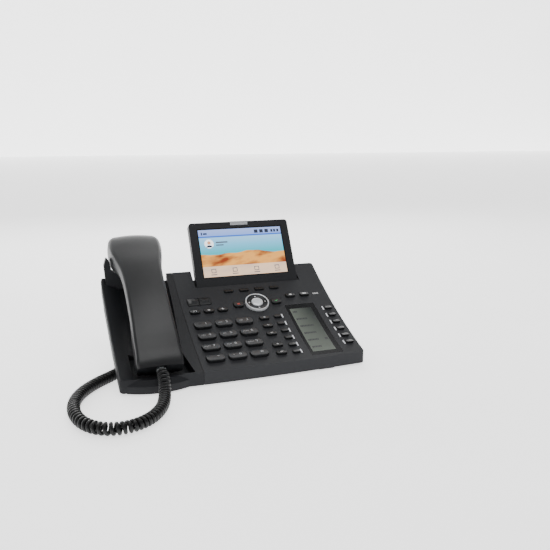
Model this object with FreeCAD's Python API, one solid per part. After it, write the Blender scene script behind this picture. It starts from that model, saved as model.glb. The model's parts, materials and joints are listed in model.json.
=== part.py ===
import FreeCAD, Part
import math
import os

# Desk IP phone, millimetres.  X runs to the right, Y to the back, Z up from the desk.
# The body is a slab whose deck is a shallow concave arc about an axis parallel to X, so
# most pieces are turned about that axis.  Plan positions are measured from the front edge
# of the deck, and everything is moved at the end so that the origin is under the middle.

V = FreeCAD.Vector
X_AXIS = V(1, 0, 0)
Z_AXIS = V(0, 0, 1)

# ---- driving dimensions ----
BODY_W = 237.6
BODY_D = 135.4
CORNER_R = 4.0
FRONT_BOW = 2.4
ARC_Y, ARC_Z, ARC_R = -165.0, 540.7, 552.1
BAND = 11.5
WALL = 2.5
SEAM_X = -44.4
SEAM_GAP = 0.3
FOOT_H = 2.0
BELLY_INSET = 1.2
BELLY_FLAT = 36.0
BELLY_BACK_Y, BELLY_BACK_Z = 133.0, 46.5

HANDSET_X = -82.0
TROUGH_DEPTH = 6.5
LIP_X, LIP_R, LIP_BULGE, LIP_TOP, LIP_STEP = -83.5, 59.0, 6.3, 13.4, 8.6
SPEAKER_Y = 84.0

NOTCH_X0, NOTCH_X1, NOTCH_Y = -24.0, 94.0, 113.6
NOTCH_FLOOR = 11.0
NOTCH_FRONT_WALL = 1.8
HINGE_Y, HINGE_Z = 118.3, 62.3
PIN_R, PIN_FIT = 2.0, 0.05
PANEL_X, PANEL_W, PANEL_H, PANEL_T = 35.0, 114.0, 72.2, 8.0
PANEL_TILT = 61.0
PANEL_SKIN = 1.8
SCREEN_W, SCREEN_H, SCREEN_UP = 95.04, 53.86, 36.9
LIGHT_W, LIGHT_H = 20.0, 4.2

LINE_X, LINE_W, LINE_Y0, LINE_Y1 = 80.1, 33.2, 4.4, 79.8
LINE_LCD_X, LINE_LCD_W, LINE_LCD_Y0, LINE_LCD_Y1 = 79.1, 28.4, 7.8, 75.8

KEY_GAP = 0.35
KEY_SINK = 4.1
FLANGE = 1.1
FLANGE_T = 1.2
MAT_R, MAT_T = 6.3, 1.2

CORD_R = 5.5


def radius_of(depth):
    """Distance from the arc's axis of a surface that lies depth below the deck."""
    return ARC_R + depth


def deck_z(y, depth=0.0):
    """Height of the deck, or of a surface depth below it, at plan place y."""
    return ARC_Z - math.sqrt(radius_of(depth) ** 2 - (y - ARC_Y) ** 2)


def deck_slope(y):
    """Slope of the deck at plan place y, in degrees."""
    return math.degrees(math.asin((y - ARC_Y) / ARC_R))


def deck_normal(y):
    """Unit vector out of the deck at plan place y."""
    a = math.radians(deck_slope(y))
    return V(0, -math.sin(a), math.cos(a))


def on_deck(shape, x, y, depth=0.0):
    """Stand a shape, made about its own origin, on the deck at plan place x, y."""
    shape = shape.copy()
    shape.rotate(V(0, 0, 0), X_AXIS, deck_slope(y))
    shape.translate(V(x, y, deck_z(y)) - deck_normal(y) * depth)
    return shape


def box(x0, x1, y0, y1, z0, z1):
    """Block between pairs of faces."""
    return Part.makeBox(x1 - x0, y1 - y0, z1 - z0, V(x0, y0, z0))


def rod(x, y, z, r, length, axis=Z_AXIS):
    """Round rod from a point along an axis."""
    return Part.makeCylinder(r, length, V(x, y, z), axis)


def fuse(shapes):
    """One solid from several that touch."""
    whole = shapes[0]
    for s in shapes[1:]:
        whole = whole.fuse(s)
    return whole.removeSplitter()


def side_prism(points, x0, x1):
    """Solid between x0 and x1 whose outline in the Y-Z plane is the given points."""
    corners = [V(x0, y, z) for y, z in points]
    face = Part.Face(Part.makePolygon(corners + corners[:1]))
    return face.extrude(V(x1 - x0, 0, 0))


def plan_prism(points, z0, z1):
    """Solid between z0 and z1 whose outline in plan is the given points."""
    corners = [V(x, y, z0) for x, y in points]
    face = Part.Face(Part.makePolygon(corners + corners[:1]))
    return face.extrude(V(0, 0, z1 - z0))


def turned(points):
    """Solid swept along the deck's arc; the points are places (x, depth below the deck)."""
    start, sweep = 13.0, 24.0
    corners = [V(x, ARC_Y, ARC_Z - radius_of(d)) for x, d in points]
    face = Part.Face(Part.makePolygon(corners + corners[:1]))
    face.rotate(V(0, ARC_Y, ARC_Z), X_AXIS, start)
    return face.revolve(V(0, ARC_Y, ARC_Z), X_AXIS, sweep)


def layer(x0, x1, d0, d1):
    """Sheet that follows the deck between two depths below it."""
    return turned([(x0, d0), (x1, d0), (x1, d1), (x0, d1)])


def rounded_plan(x0, x1, y0, y1, r, z0, z1, bow=0.0):
    """Upright prism with rounded corners whose front side may bow forward."""
    mid = 0.5 * (x0 + x1)
    front = Part.Arc(V(x0 + r, y0, z0), V(mid, y0 - bow, z0), V(x1 - r, y0, z0)) if bow else \
        Part.LineSegment(V(x0 + r, y0, z0), V(x1 - r, y0, z0))
    k = r * (1 - math.sqrt(0.5))
    edges = [
        front,
        Part.Arc(V(x1 - r, y0, z0), V(x1 - k, y0 + k, z0), V(x1, y0 + r, z0)),
        Part.LineSegment(V(x1, y0 + r, z0), V(x1, y1 - r, z0)),
        Part.Arc(V(x1, y1 - r, z0), V(x1 - k, y1 - k, z0), V(x1 - r, y1, z0)),
        Part.LineSegment(V(x1 - r, y1, z0), V(x0 + r, y1, z0)),
        Part.Arc(V(x0 + r, y1, z0), V(x0 + k, y1 - k, z0), V(x0, y1 - r, z0)),
        Part.LineSegment(V(x0, y1 - r, z0), V(x0, y0 + r, z0)),
        Part.Arc(V(x0, y0 + r, z0), V(x0 + k, y0 + k, z0), V(x0 + r, y0, z0)),
    ]
    wire = Part.Wire([e.toShape() for e in edges])
    return Part.Face(wire).extrude(V(0, 0, z1 - z0))


# ---- the body's envelope ----
HALF_W = 0.5 * BODY_W
EDGE_BEVEL = 1.0


def body_plan(inset):
    """The body's plan outline, drawn in by inset, as a tall prism."""
    return rounded_plan(-HALF_W + inset, HALF_W - inset, 1.5 + inset, BODY_D - inset,
                        CORNER_R, -20, 140, FRONT_BOW)


def band_region(inset, d0, d1):
    """The upper band of the body between two depths below the deck."""
    side = HALF_W - inset
    bevel = EDGE_BEVEL if inset == 0 else 0.01
    ring = turned([(-side + bevel, d0), (side - bevel, d0), (side, d0 + bevel), (side, d1),
                   (-side, d1), (-side, d0 + bevel)])
    return ring.common(body_plan(inset))


TROUGH_RIGHT = [(-50.3, 150), (-52.5, 92.8), (-57.5, 31), (-51.5, 1)]
TROUGH_SLOPE = [(-117.6, 0.0), (-112.0, 1.3), (-107.0, 2.9), (-102.5, 5.0), (-99.0, TROUGH_DEPTH)]
POCKET_LEFT, POCKET_Y0, POCKET_Y1 = -106.0, 1.6, 40.0


def trough_plan(left, y0, y1, grow):
    """Upright prism over the trough, cut off straight at its left, front and back."""
    right = [(x + grow, y) for x, y in TROUGH_RIGHT]
    plan = plan_prism([(left - grow, y1)] + right + [(right[-1][0] - 1.0, -8), (left - grow, -8)], -30, 160)
    return plan.common(box(-130, -40, y0 - grow, y1, -30, 160))


def trough_cutter(grow):
    """The handset's trough: a long slope at the left and a steep wall at the right."""
    slope = [(x - grow, d - 0.01 if d == 0 else d + grow) for x, d in TROUGH_SLOPE]
    floor = turned([(slope[0][0], -60)] + slope + [(-20, TROUGH_DEPTH + grow), (-20, -60)])
    return trough_plan(-120, 1.6, 150, grow).common(floor)


def pocket_cutter(grow):
    """The deeper pocket that takes the handset's mouth end."""
    floor = layer(-130, -20, -60, TROUGH_DEPTH + 2.2 + grow)
    return trough_plan(POCKET_LEFT, POCKET_Y0, POCKET_Y1 + grow, grow).common(floor)


def sill():
    """The rounded lip in front of the pocket, with its sloping top face."""
    centre = V(LIP_X, LIP_R - LIP_BULGE, 0)
    chamfer = 3.8
    depth = 9.0
    base = deck_z(0, BAND)
    profile = [(LIP_R - depth, base), (LIP_R, base), (LIP_R, LIP_STEP),
               (LIP_R - chamfer, LIP_TOP), (LIP_R - depth, LIP_TOP)]
    corners = [centre + V(0, -r, z) for r, z in profile]
    face = Part.Face(Part.makePolygon(corners + corners[:1]))
    half_turn = 30.0
    face.rotate(centre, Z_AXIS, -half_turn)
    ring = face.revolve(centre, Z_AXIS, 2 * half_turn)
    return ring.common(box(-113, -53.5, -20, POCKET_Y0, 0, 30))


SADDLE_Y0, SADDLE_Y1 = 127.5, 135.0
HANDSET_AIR = 1.0
GRILLE_SLOTS, GRILLE_PITCH, GRILLE_W, GRILLE_L = 7, 5.0, 2.0, 18.0


def ear_saddle():
    """Cross wall behind the trough with a horn at each side; the head later shapes its top."""
    outline = [(-113.6, 66), (-115.2, 91), (-112.9, 98.7), (-111.3, 98.5), (-106.3, 89.5), (-99.5, 88),
               (-64, 88), (-61, 84), (-58.5, 76), (-58.5, 66)]
    corners = [V(x, SADDLE_Y0, z) for x, z in outline]
    face = Part.Face(Part.makePolygon(corners + corners[:1]))
    return face.extrude(V(0, SADDLE_Y1 - SADDLE_Y0, 0))


def cover_shell(x0, x1):
    """Outer skin of the body's band between two places across."""
    outer = band_region(0, 0, BAND).common(box(x0, x1, -30, 200, -30, 200))
    return outer


def handset_clearance():
    """The handset with the air that is left round it where it lies in the cradle."""
    return handset_body(HANDSET_AIR)


def cradle_cover():
    """Left top cover: trough, pocket, sill and the saddle for the ear end."""
    right = SEAM_X - 0.5 * SEAM_GAP
    outer = cover_shell(-200, right)
    outer = outer.fuse(sill())
    hollow = band_region(WALL, WALL, BAND + 5).common(box(-200, right - WALL, -30, 200, -30, 200))
    hollow = hollow.cut(trough_cutter(WALL)).cut(pocket_cutter(WALL))
    cover = outer.cut(trough_cutter(0)).cut(pocket_cutter(0)).cut(hollow)
    cover = cover.fuse(ear_saddle())
    cover = cover.cut(handset_clearance())
    for i in range(GRILLE_SLOTS):
        slot = box(-0.5 * GRILLE_W, 0.5 * GRILLE_W, -0.5 * GRILLE_L, 0.5 * GRILLE_L, -20, 5)
        x = HANDSET_X + GRILLE_PITCH * (i - 0.5 * (GRILLE_SLOTS - 1))
        cover = cover.cut(on_deck(slot, x, SPEAKER_Y))
    cover = cover.cut(hook_opening())
    cover = cover.cut(box(-130, SIDE_PORT_X, SIDE_PORT_Y0, SIDE_PORT_Y1, -5, SIDE_PORT_Z))
    return main_solid(cover)


def main_solid(shape):
    """The largest solid of a cut, which drops slivers left over by the cutters."""
    return max(shape.Solids, key=lambda s: s.Volume)


# ---- keys ----

def key_blank(w, d, r, rise_front, rise_back, side_flange=FLANGE):
    """A key cap about the middle of its front edge: high at the front, low at the back."""
    cap = rounded_plan(-0.5 * w, 0.5 * w, 0, d, r, -KEY_SINK, rise_front + 1)
    slope = side_prism([(-1, -KEY_SINK - 2), (d + 1, -KEY_SINK - 2), (d + 1, rise_back),
                        (0.45 * d, rise_front - 0.25), (0.1 * d, rise_front), (-1, rise_front - 0.9)],
                       -0.5 * w - 1, 0.5 * w + 1)
    cap = cap.common(slope)
    rim = rounded_plan(-0.5 * w - side_flange, 0.5 * w + side_flange, -FLANGE, d + FLANGE, r,
                       -KEY_SINK, -KEY_SINK + FLANGE_T)
    return cap.fuse(rim).removeSplitter()


def key_hole(w, d, r):
    """Opening for a key of the given width, depth and corner radius."""
    g = KEY_GAP
    return rounded_plan(-0.5 * w - g, 0.5 * w + g, -g, d + g, r + g, -12, 6)


RING_X, RING_Y = 35.0, 86.1
RING_R, RING_HOLE, SELECT_R, RING_RISE = 12.6, 6.5, 6.1, 2.8

NUMBER_NAMES = [["key_1", "key_2", "key_3"], ["key_4", "key_5", "key_6"],
                ["key_7", "key_8", "key_9"], ["key_star", "key_0", "key_hash"]]
NUMBER_KEY = (17.4, 11.2, 4.0, 2.7, 0.7)
SMALL_KEY = (10.4, 6.2, 2.4, 2.2, 0.5)
SOFT_KEY = (10.0, 4.4, 1.4, 1.9, 0.4)
SIDE_KEY = (10.2, 8.4, 2.4, 2.2, 0.5)
ROCKER = (24.4, 10.6, 1.4)
ROCKER_X, ROCKER_Y = -24.9, 90.2
LINE_KEY = (7.6, 5.2, 1.5, 1.8, 0.5)
NUMBER_X, NUMBER_PITCH_X = -29.1, 21.4
NUMBER_Y, NUMBER_PITCH_Y = 57.8, 15.6
LINE_PITCH = 10.5
LINE_LEFT_X, LINE_LEFT_Y = 50.4, 63.0
LINE_RIGHT_X, LINE_RIGHT_Y = 109.8, 68.3


def key_list():
    """Every single key as (name, x of its middle, y of its front edge, its form)."""
    keys = []
    for row, names in enumerate(NUMBER_NAMES):
        for col, name in enumerate(names):
            keys.append((name, NUMBER_X + col * NUMBER_PITCH_X, NUMBER_Y - row * NUMBER_PITCH_Y, NUMBER_KEY))
    for i, y in enumerate((61.8, 50.4, 39.0, 22.0, 10.6)):
        keys.append((f"function_key_{i + 1}", 35.5, y, SMALL_KEY))
    for i in range(4):
        keys.append((f"soft_key_{i + 1}", 9.9 + 16.98 * i, 103.7, SOFT_KEY))
    for i, name in enumerate(("headset_key", "loudspeaker_key", "mute_key")):
        keys.append((name, -32.4 + 14.4 * i, 78.8, SMALL_KEY))
    keys.append(("cancel_key", RING_X - 20.3, 82.4, SIDE_KEY))
    keys.append(("confirm_key", RING_X + 21.3, 82.4, SIDE_KEY))
    keys.append(("directory_key", 74.8, 90.0, SMALL_KEY))
    keys.append(("message_key", 91.0, 90.0, SMALL_KEY))
    return keys


def line_key_places(side):
    """Front middles of the six line keys in one column."""
    x, y = (LINE_LEFT_X, LINE_LEFT_Y) if side == "left" else (LINE_RIGHT_X, LINE_RIGHT_Y)
    return [(x, y - i * LINE_PITCH) for i in range(6)]


def line_keys(side):
    """One column of six separate line keys."""
    return Part.Compound([on_deck(key_blank(*LINE_KEY, 0.2), x, y) for x, y in line_key_places(side)])


def navigation_ring():
    """Dished ring round the select key."""
    ring = Part.makeCylinder(RING_R, RING_RISE + KEY_SINK, V(0, 0, -KEY_SINK))
    dish = Part.makeCone(RING_R - 1.9, RING_R - 1.2, 0.9, V(0, 0, RING_RISE - 0.9))
    rim = Part.makeCylinder(RING_R + FLANGE, FLANGE_T, V(0, 0, -KEY_SINK))
    hole = Part.makeCylinder(RING_HOLE, 20, V(0, 0, -10))
    whole = ring.cut(dish).fuse(rim).cut(hole)
    return on_deck(whole, RING_X, RING_Y)


def volume_rocker():
    """Two-ended key with a ridge across it and a groove between its ends."""
    w, d, r = ROCKER
    crest = 0.55 * d
    cap = rounded_plan(-0.5 * w, 0.5 * w, 0, d, r, -KEY_SINK, 4)
    cap = cap.common(side_prism([(-1, -6), (d + 1, -6), (d + 1, 0.2), (crest, 2.3), (-1, 0.5)], -20, 20))
    cap = cap.cut(box(-0.35, 0.35, -1, d + 1, 0.1, 5))
    rest = box(-3.5, 3.5, -FLANGE, d + FLANGE, -KEY_SINK, -KEY_SINK + FLANGE_T)
    return on_deck(fuse([cap, rest]), ROCKER_X, ROCKER_Y)


def select_key():
    """Round key with a shallow dome, in the middle of the ring."""
    cap = Part.makeCylinder(SELECT_R, RING_RISE + KEY_SINK, V(0, 0, -KEY_SINK))
    dome_r = 32.0
    dome = Part.makeSphere(dome_r, V(0, 0, RING_RISE + 0.3 - dome_r))
    return on_deck(cap.common(dome), RING_X, RING_Y)


# ---- right top cover ----

def notch_cutter():
    """Recess at the back edge where the display's foot stands."""
    notch = box(NOTCH_X0, NOTCH_X1, NOTCH_Y, 200, -30, 160)
    return notch.common(layer(-60, 110, -60, NOTCH_FLOOR - WALL))


def notch_walls():
    """Walls and floor that close the recess for the display's foot."""
    inside = band_region(0, 0.5, BAND).common(
        box(NOTCH_X0 - WALL, NOTCH_X1 + WALL, NOTCH_Y - NOTCH_FRONT_WALL, 200, -30, 160))
    return inside


def line_window_cutter():
    """Shallow seat of the line display's window."""
    window = box(LINE_X - 0.5 * LINE_W, LINE_X + 0.5 * LINE_W, LINE_Y0, LINE_Y1, -30, 160)
    return window.common(layer(40, 118, -20, 1.5))


def line_window_opening():
    """Opening below the window's seat, through which the line display shows."""
    rim = 1.6
    half = 0.5 * LINE_W - rim
    window = box(LINE_X - half, LINE_X + half, LINE_Y0 + rim, LINE_Y1 - rim, -30, 160)
    return window.common(layer(40, 118, -20, 8))


def light_guide_places():
    """Middles of the light guides beside the two columns of line keys."""
    left = [(LINE_LEFT_X + 5.2, LINE_LEFT_Y + 2.4 - i * LINE_PITCH) for i in range(6)]
    right = [(LINE_RIGHT_X - 5.9, LINE_RIGHT_Y + 2.4 - i * LINE_PITCH) for i in range(6)]
    return left + right


GUIDE_W, GUIDE_L = 1.2, 5.6


def guide_bar(grow, low, high):
    """One upright light guide, grown all round and standing between two heights."""
    half_w, half_l = 0.5 * GUIDE_W + grow, 0.5 * GUIDE_L + grow
    return box(-half_w, half_w, -half_l, half_l, low, high)


def line_light_guides():
    """Twelve separate clear bars, one beside each line key."""
    return Part.Compound([on_deck(guide_bar(0, -5.8, 0.15), x, y) for x, y in light_guide_places()])


def keypad_cover():
    """Right top cover with the key openings and the notch for the display."""
    left = SEAM_X + 0.5 * SEAM_GAP
    outer = cover_shell(left, 200)
    hollow = band_region(WALL, WALL, BAND + 5).common(box(left + WALL, 200, -30, 200, -30, 200))
    hollow = hollow.cut(notch_walls())
    cover = outer.cut(hollow).cut(notch_cutter())
    for _, x, y, form in key_list():
        cover = cover.cut(on_deck(key_hole(*form[:3]), x, y))
    cover = cover.cut(on_deck(key_hole(*ROCKER), ROCKER_X, ROCKER_Y))
    for side in ("left", "right"):
        for x, y in line_key_places(side):
            cover = cover.cut(on_deck(key_hole(*LINE_KEY[:3]), x, y))
    cover = cover.cut(on_deck(Part.makeCylinder(RING_R + KEY_GAP, 30, V(0, 0, -12)), RING_X, RING_Y))
    for x, y in light_guide_places():
        cover = cover.cut(on_deck(guide_bar(0.05, -8, 4), x, y))
    cover = cover.cut(line_window_cutter()).cut(line_window_opening())
    for x0, x1 in PIN_SPANS:
        cover = cover.cut(rod(x0, HINGE_Y, HINGE_Z, PIN_R + PIN_FIT, x1 - x0, X_AXIS))
    return main_solid(cover)


# ---- lower housing and what it holds ----
SIDE_PORT_X, SIDE_PORT_Y0, SIDE_PORT_Y1, SIDE_PORT_Z = -97.0, 32.0, 64.0, 14.0
JACKS = [("network", 20.0), ("computer", 42.0)]
BOSS_R, SCREW_HOLE_R, SCREW_WELL_R, SCREW_SEAT = 4.0, 1.6, 3.4, 2.0
SCREW_HEAD_R, SCREW_HEAD_H, SCREW_R, SCREW_L = 2.9, 1.8, 1.5, 8.0
BOSSES = [(-100, 112), (-49.0, 20), (-30, 108), (104, 108), (104, 12)]
# Bulges on the underside that make room for the sockets: x0, x1, y0, y1, lowest z.
BULGES = [(7.0, 55.0, 111.0, BELLY_BACK_Y, 36.8), (-97.0, -81.0, 41.8, 54.2, 2.4)]
NET_SOCKET_Z0, NET_SOCKET_Z1 = 39.6, 51.4
NET_SOCKET_W, NET_SOCKET_L, NET_MOUTH_W, NET_MOUTH_L, NET_LATCH_W = 16.0, 17.0, 11.8, 12.0, 6.0


def belly_outline(grow, floor):
    """Side outline of the lower housing, grown or shrunk, closed above the deck."""
    run = math.hypot(BELLY_BACK_Y - BELLY_FLAT, BELLY_BACK_Z - FOOT_H)
    up_y, up_z = (BELLY_BACK_Y - BELLY_FLAT) / run, (BELLY_BACK_Z - FOOT_H) / run
    bend_y, bend_z = BELLY_FLAT - floor * up_z * 0.5, FOOT_H + floor
    back_y = BELLY_BACK_Y - grow
    back_z = bend_z + (back_y - bend_y) * up_z / up_y
    return [(3 + grow, FOOT_H + floor), (bend_y, bend_z), (back_y, back_z), (back_y, 160), (3 + grow, 160)]


def below_band():
    """Everything that lies under the two top covers."""
    return layer(-150, 150, BAND + 0.25, 90)


def lower_housing():
    """Bottom tray that closes the band from below, with its screw bosses."""
    side = HALF_W - BELLY_INSET
    outer = side_prism(belly_outline(0, 0), -side, side)
    inner = side_prism(belly_outline(WALL, WALL), -side + WALL, side - WALL)
    for x0, x1, y0, y1, z0 in BULGES:
        outer = outer.fuse(box(x0, x1, y0, y1, z0, z0 + 20))
        inner = inner.fuse(box(x0 + WALL, x1 - WALL, y0 + WALL, y1 - WALL, z0 + WALL, z0 + 20))
    outer = outer.common(body_plan(BELLY_INSET)).common(below_band())
    inner = inner.common(body_plan(BELLY_INSET + WALL))
    tray = outer.cut(inner)
    port_y0, port_y1, port_z = SIDE_PORT_Y0 - WALL, SIDE_PORT_Y1 + WALL, SIDE_PORT_Z + WALL
    tray = tray.cut(box(-130, SIDE_PORT_X + WALL, port_y0, port_y1, -5, port_z))
    wall = box(-side, SIDE_PORT_X + WALL, port_y0, port_y1, FOOT_H, port_z)
    wall = wall.cut(box(-130, SIDE_PORT_X, SIDE_PORT_Y0, SIDE_PORT_Y1, -5, SIDE_PORT_Z))
    wall = wall.common(outer)
    tray = tray.fuse(wall)
    for x, y in BOSSES:
        boss = rod(x, y, 0, BOSS_R, 120).common(outer)
        tray = tray.fuse(boss)
    for x, y in BOSSES:
        tray = tray.cut(rod(x, y, -10, SCREW_HOLE_R, 150))
        tray = tray.cut(rod(x, y, -10, SCREW_WELL_R, 10 + belly_z(y) + SCREW_SEAT))
    tray = tray.cut(box(SIDE_PORT_X - 1, SIDE_PORT_X + 4, 44.4, 51.6, 4.6, 11.2))
    for _, x in JACKS:
        tray = tray.cut(box(x - 8.1, x + 8.1, BELLY_BACK_Y - 6, BELLY_BACK_Y + 4,
                            NET_SOCKET_Z0 - 0.1, NET_SOCKET_Z1 + 0.1))
    for x, y in FOOT_PLACES:
        tray = tray.cut(foot_pad(x, y, 0, FOOT_H + FOOT_SUNK, FOOT_FIT))
    return main_solid(tray.removeSplitter())


def belly_z(y):
    """Height of the lower housing's outside at plan place y."""
    if y <= BELLY_FLAT:
        return FOOT_H
    return FOOT_H + (y - BELLY_FLAT) * (BELLY_BACK_Z - FOOT_H) / (BELLY_BACK_Y - BELLY_FLAT)


FOOT_PLACES = [(-74, 8.2), (78, 8.2)]
FOOT_L, FOOT_W = 22.0, 9.0
FOOT_SUNK, FOOT_FIT = 1.0, 0.05
STAND_PADS = [(-66, 121), (66, 121)]


def foot_pad(x, y, z0, z1, grow=0.0):
    """Long pad with round ends, grown all round in plan."""
    half_l, half_w = 0.5 * FOOT_L + grow, 0.5 * FOOT_W + grow
    return rounded_plan(x - half_l, x + half_l, y - half_w, y + half_w, half_w - 0.1, z0, z1)


def rubber_feet():
    """Two pads let into the housing's front and two under the stand."""
    front = [foot_pad(x, y, 0, FOOT_H + FOOT_SUNK) for x, y in FOOT_PLACES]
    back = [foot_pad(x, y, 0, FOOT_H) for x, y in STAND_PADS]
    return Part.Compound(front + back)


STAND_HALF = 82.0
STAND_TOP_Y, STAND_SOLE_Y0, STAND_SOLE_Y1, STAND_SOLE_T = 100.0, 108.0, 128.0, 4.2
STAND_RIBS, STAND_RIB_T = (-STAND_HALF + 3, -28, 28, STAND_HALF - 3), 3.0


def desk_stand():
    """Clip-on foot that carries the back of the body: a leaning plate on a broad sole."""
    top_y = STAND_TOP_Y
    seat_z = FOOT_H + STAND_SOLE_T - 0.2
    plate = side_prism([(top_y, belly_z(top_y)), (top_y + 8, belly_z(top_y + 8)),
                        (STAND_SOLE_Y0 + 10, seat_z), (STAND_SOLE_Y0 + 2, seat_z)], -STAND_HALF, STAND_HALF)
    sole = rounded_plan(-STAND_HALF, STAND_HALF, STAND_SOLE_Y0, STAND_SOLE_Y1, 5,
                        FOOT_H, FOOT_H + STAND_SOLE_T)
    ribs = []
    for x in STAND_RIBS:
        rib = side_prism([(top_y + 7, belly_z(top_y + 7)), (STAND_SOLE_Y1 - 2, seat_z),
                          (STAND_SOLE_Y0 + 4, seat_z)], x - 0.5 * STAND_RIB_T, x + 0.5 * STAND_RIB_T)
        ribs.append(rib)
    return fuse([plate, sole] + ribs)


def housing_screws():
    """Five slotted screws that hold the two halves of the body together."""
    screws = []
    for x, y in BOSSES:
        seat = belly_z(y) + SCREW_SEAT
        head = rod(x, y, seat - SCREW_HEAD_H, SCREW_HEAD_R, SCREW_HEAD_H)
        slot = box(x - 2.2, x + 2.2, y - 0.4, y + 0.4, seat - SCREW_HEAD_H - 0.2, seat - 1.0)
        shank = rod(x, y, seat - 0.2, SCREW_R, SCREW_L)
        screws.append(head.fuse(shank).cut(slot))
    return Part.Compound(screws)


BOARD_SLOPE = 24.8


def chord_slab(x0, x1, s0, s1, depth, thick):
    """Flat plate parallel to the deck's chord; s runs up the chord from y = 18."""
    slab = box(x0, x1, s0, s1, -thick, 0)
    slab.rotate(V(0, 0, 0), X_AXIS, BOARD_SLOPE)
    slab.translate(V(0, 18, deck_z(18) - depth / math.cos(math.radians(BOARD_SLOPE))))
    return slab


def main_board():
    """Circuit board with three large chips."""
    board = chord_slab(-42, 112, 18, 100, 15.5, 1.6)
    chips = []
    for x, up, side in ((-10, 60, 14), (20, 50, 18), (60, 80, 10)):
        chips.append(chord_slab(x, x + side, up, up + side, 13.9, 1.6))
    for x, y in BOSSES:
        board = board.cut(rod(x, y, 0, BOSS_R + 0.4, 120))
    return fuse([board] + chips)


def key_mat():
    """Silicone sheet that follows the deck under the keys, cut away at the line display."""
    sheet = layer(-40.5, 114.5, MAT_R, MAT_R + MAT_T).common(box(-40.5, 114.5, 6.5, 110.2, -30, 160))
    sheet = sheet.cut(box(LINE_LCD_X - 16.5, LINE_LCD_X + 16.5, 0, 79, -30, 160))
    for x, y in BOSSES:
        sheet = sheet.cut(rod(x, y, 0, BOSS_R + 0.4, 120))
    return main_solid(sheet)


def line_display_window():
    """Clear pane that follows the deck over the line display."""
    inset = 0.15
    half = 0.5 * LINE_W - inset
    window = box(LINE_X - half, LINE_X + half, LINE_Y0 + inset, LINE_Y1 - inset, -30, 160)
    return window.common(layer(40, 118, 0.1, 1.45))


def line_display():
    """Reflective line display under its window."""
    half = 0.5 * LINE_LCD_W
    lcd = box(LINE_LCD_X - half, LINE_LCD_X + half, LINE_LCD_Y0, LINE_LCD_Y1, -30, 160)
    return lcd.common(layer(40, 118, 2.6, 6.2))


def loudspeaker():
    """Hands-free speaker under the trough: frame, magnet and cone in one can."""
    basket = Part.makeCylinder(17, 4, V(0, 0, -TROUGH_DEPTH - WALL - 5.0))
    magnet = Part.makeCylinder(9, 4.5, V(0, 0, -TROUGH_DEPTH - WALL - 9.4))
    return on_deck(fuse([basket, magnet]), HANDSET_X, SPEAKER_Y)


HOOK_W, HOOK_Y0, HOOK_Y1 = 9.2, 128.5, 132.3
# Below this height the plunger is thinner, so that it passes the housing's back wall.
HOOK_STEP_Z, HOOK_FOOT_Y1 = 65.2, 130.2
HOOK_FLANGE_Z0, HOOK_FLANGE_Z1 = 58.9, 60.4
HOOK_FIT = 0.3
HOOK_REST = 0.9


def hook_opening():
    """Slot through the saddle for the plunger."""
    return box(HANDSET_X - 0.5 * HOOK_W - HOOK_FIT, HANDSET_X + 0.5 * HOOK_W + HOOK_FIT,
               HOOK_Y0 - HOOK_FIT, HOOK_Y1 + HOOK_FIT, HOOK_FLANGE_Z1, 100)


def hook_lever():
    """Sprung plunger in the saddle that the handset's ear end presses down."""
    post = box(HANDSET_X - 0.5 * HOOK_W, HANDSET_X + 0.5 * HOOK_W, HOOK_Y0, HOOK_Y1, HOOK_FLANGE_Z0, 95)
    post = main_solid(post.cut(handset_body(HOOK_REST)))
    post = post.cut(box(HANDSET_X - HOOK_W, HANDSET_X + HOOK_W, HOOK_FOOT_Y1, HOOK_Y1 + 1, 0, HOOK_STEP_Z))
    flange = box(HANDSET_X - 0.5 * HOOK_W - 2, HANDSET_X + 0.5 * HOOK_W + 2, HOOK_Y0 - 1.5, HOOK_FOOT_Y1,
                 HOOK_FLANGE_Z0, HOOK_FLANGE_Z1)
    return fuse([post, flange])


def jack_sockets():
    """Two network sockets at the back and the small handset socket at the left."""
    blocks = []
    for _, x in JACKS:
        y1 = BELLY_BACK_Y
        half, mouth_half, latch_half = 0.5 * NET_SOCKET_W, 0.5 * NET_MOUTH_W, 0.5 * NET_LATCH_W
        y0 = y1 - NET_MOUTH_L
        block = box(x - half, x + half, y1 - NET_SOCKET_L, y1, NET_SOCKET_Z0, NET_SOCKET_Z1)
        mouth = box(x - mouth_half, x + mouth_half, y0, y1 + 1, NET_SOCKET_Z0 + 1.4, NET_SOCKET_Z0 + 8.6)
        latch = box(x - latch_half, x + latch_half, y0, y1 + 1, NET_SOCKET_Z0 + 8.5, NET_SOCKET_Z0 + 10.4)
        blocks.append(block.cut(mouth).cut(latch))
    x0 = SIDE_PORT_X + 0.2
    block = box(x0, x0 + 13, 44.6, 51.4, 5.0, 11.0)
    blocks.append(block)
    return Part.Compound(blocks)


# ---- tilting display ----
PIN_REACH = 10.0
PIN_SPANS = [(NOTCH_X0 - WALL, PANEL_X - 0.5 * PANEL_W + PIN_REACH),
             (PANEL_X + 0.5 * PANEL_W - PIN_REACH, NOTCH_X1 + WALL)]


def on_panel(shape):
    """Turn a shape made upright about the hinge axis (Y is the panel's back) to its tilt."""
    shape = shape.copy()
    shape.rotate(V(0, 0, 0), X_AXIS, PANEL_TILT - 90)
    shape.translate(V(PANEL_X, HINGE_Y, HINGE_Z))
    return shape


def panel_blank(half_w, low, high, y0, y1, r):
    """Upright slab in the panel's own frame with rounded corners seen from the front."""
    slab = rounded_plan(-half_w, half_w, low, high, r, 0, y1 - y0)
    slab.rotate(V(0, 0, 0), X_AXIS, 90)
    slab.translate(V(0, y1, 0))
    return slab


def hinge_roll(r, half_w):
    """Cylinder about the display's hinge axis."""
    return rod(-half_w, 0, 0, r, 2 * half_w, X_AXIS)


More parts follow.
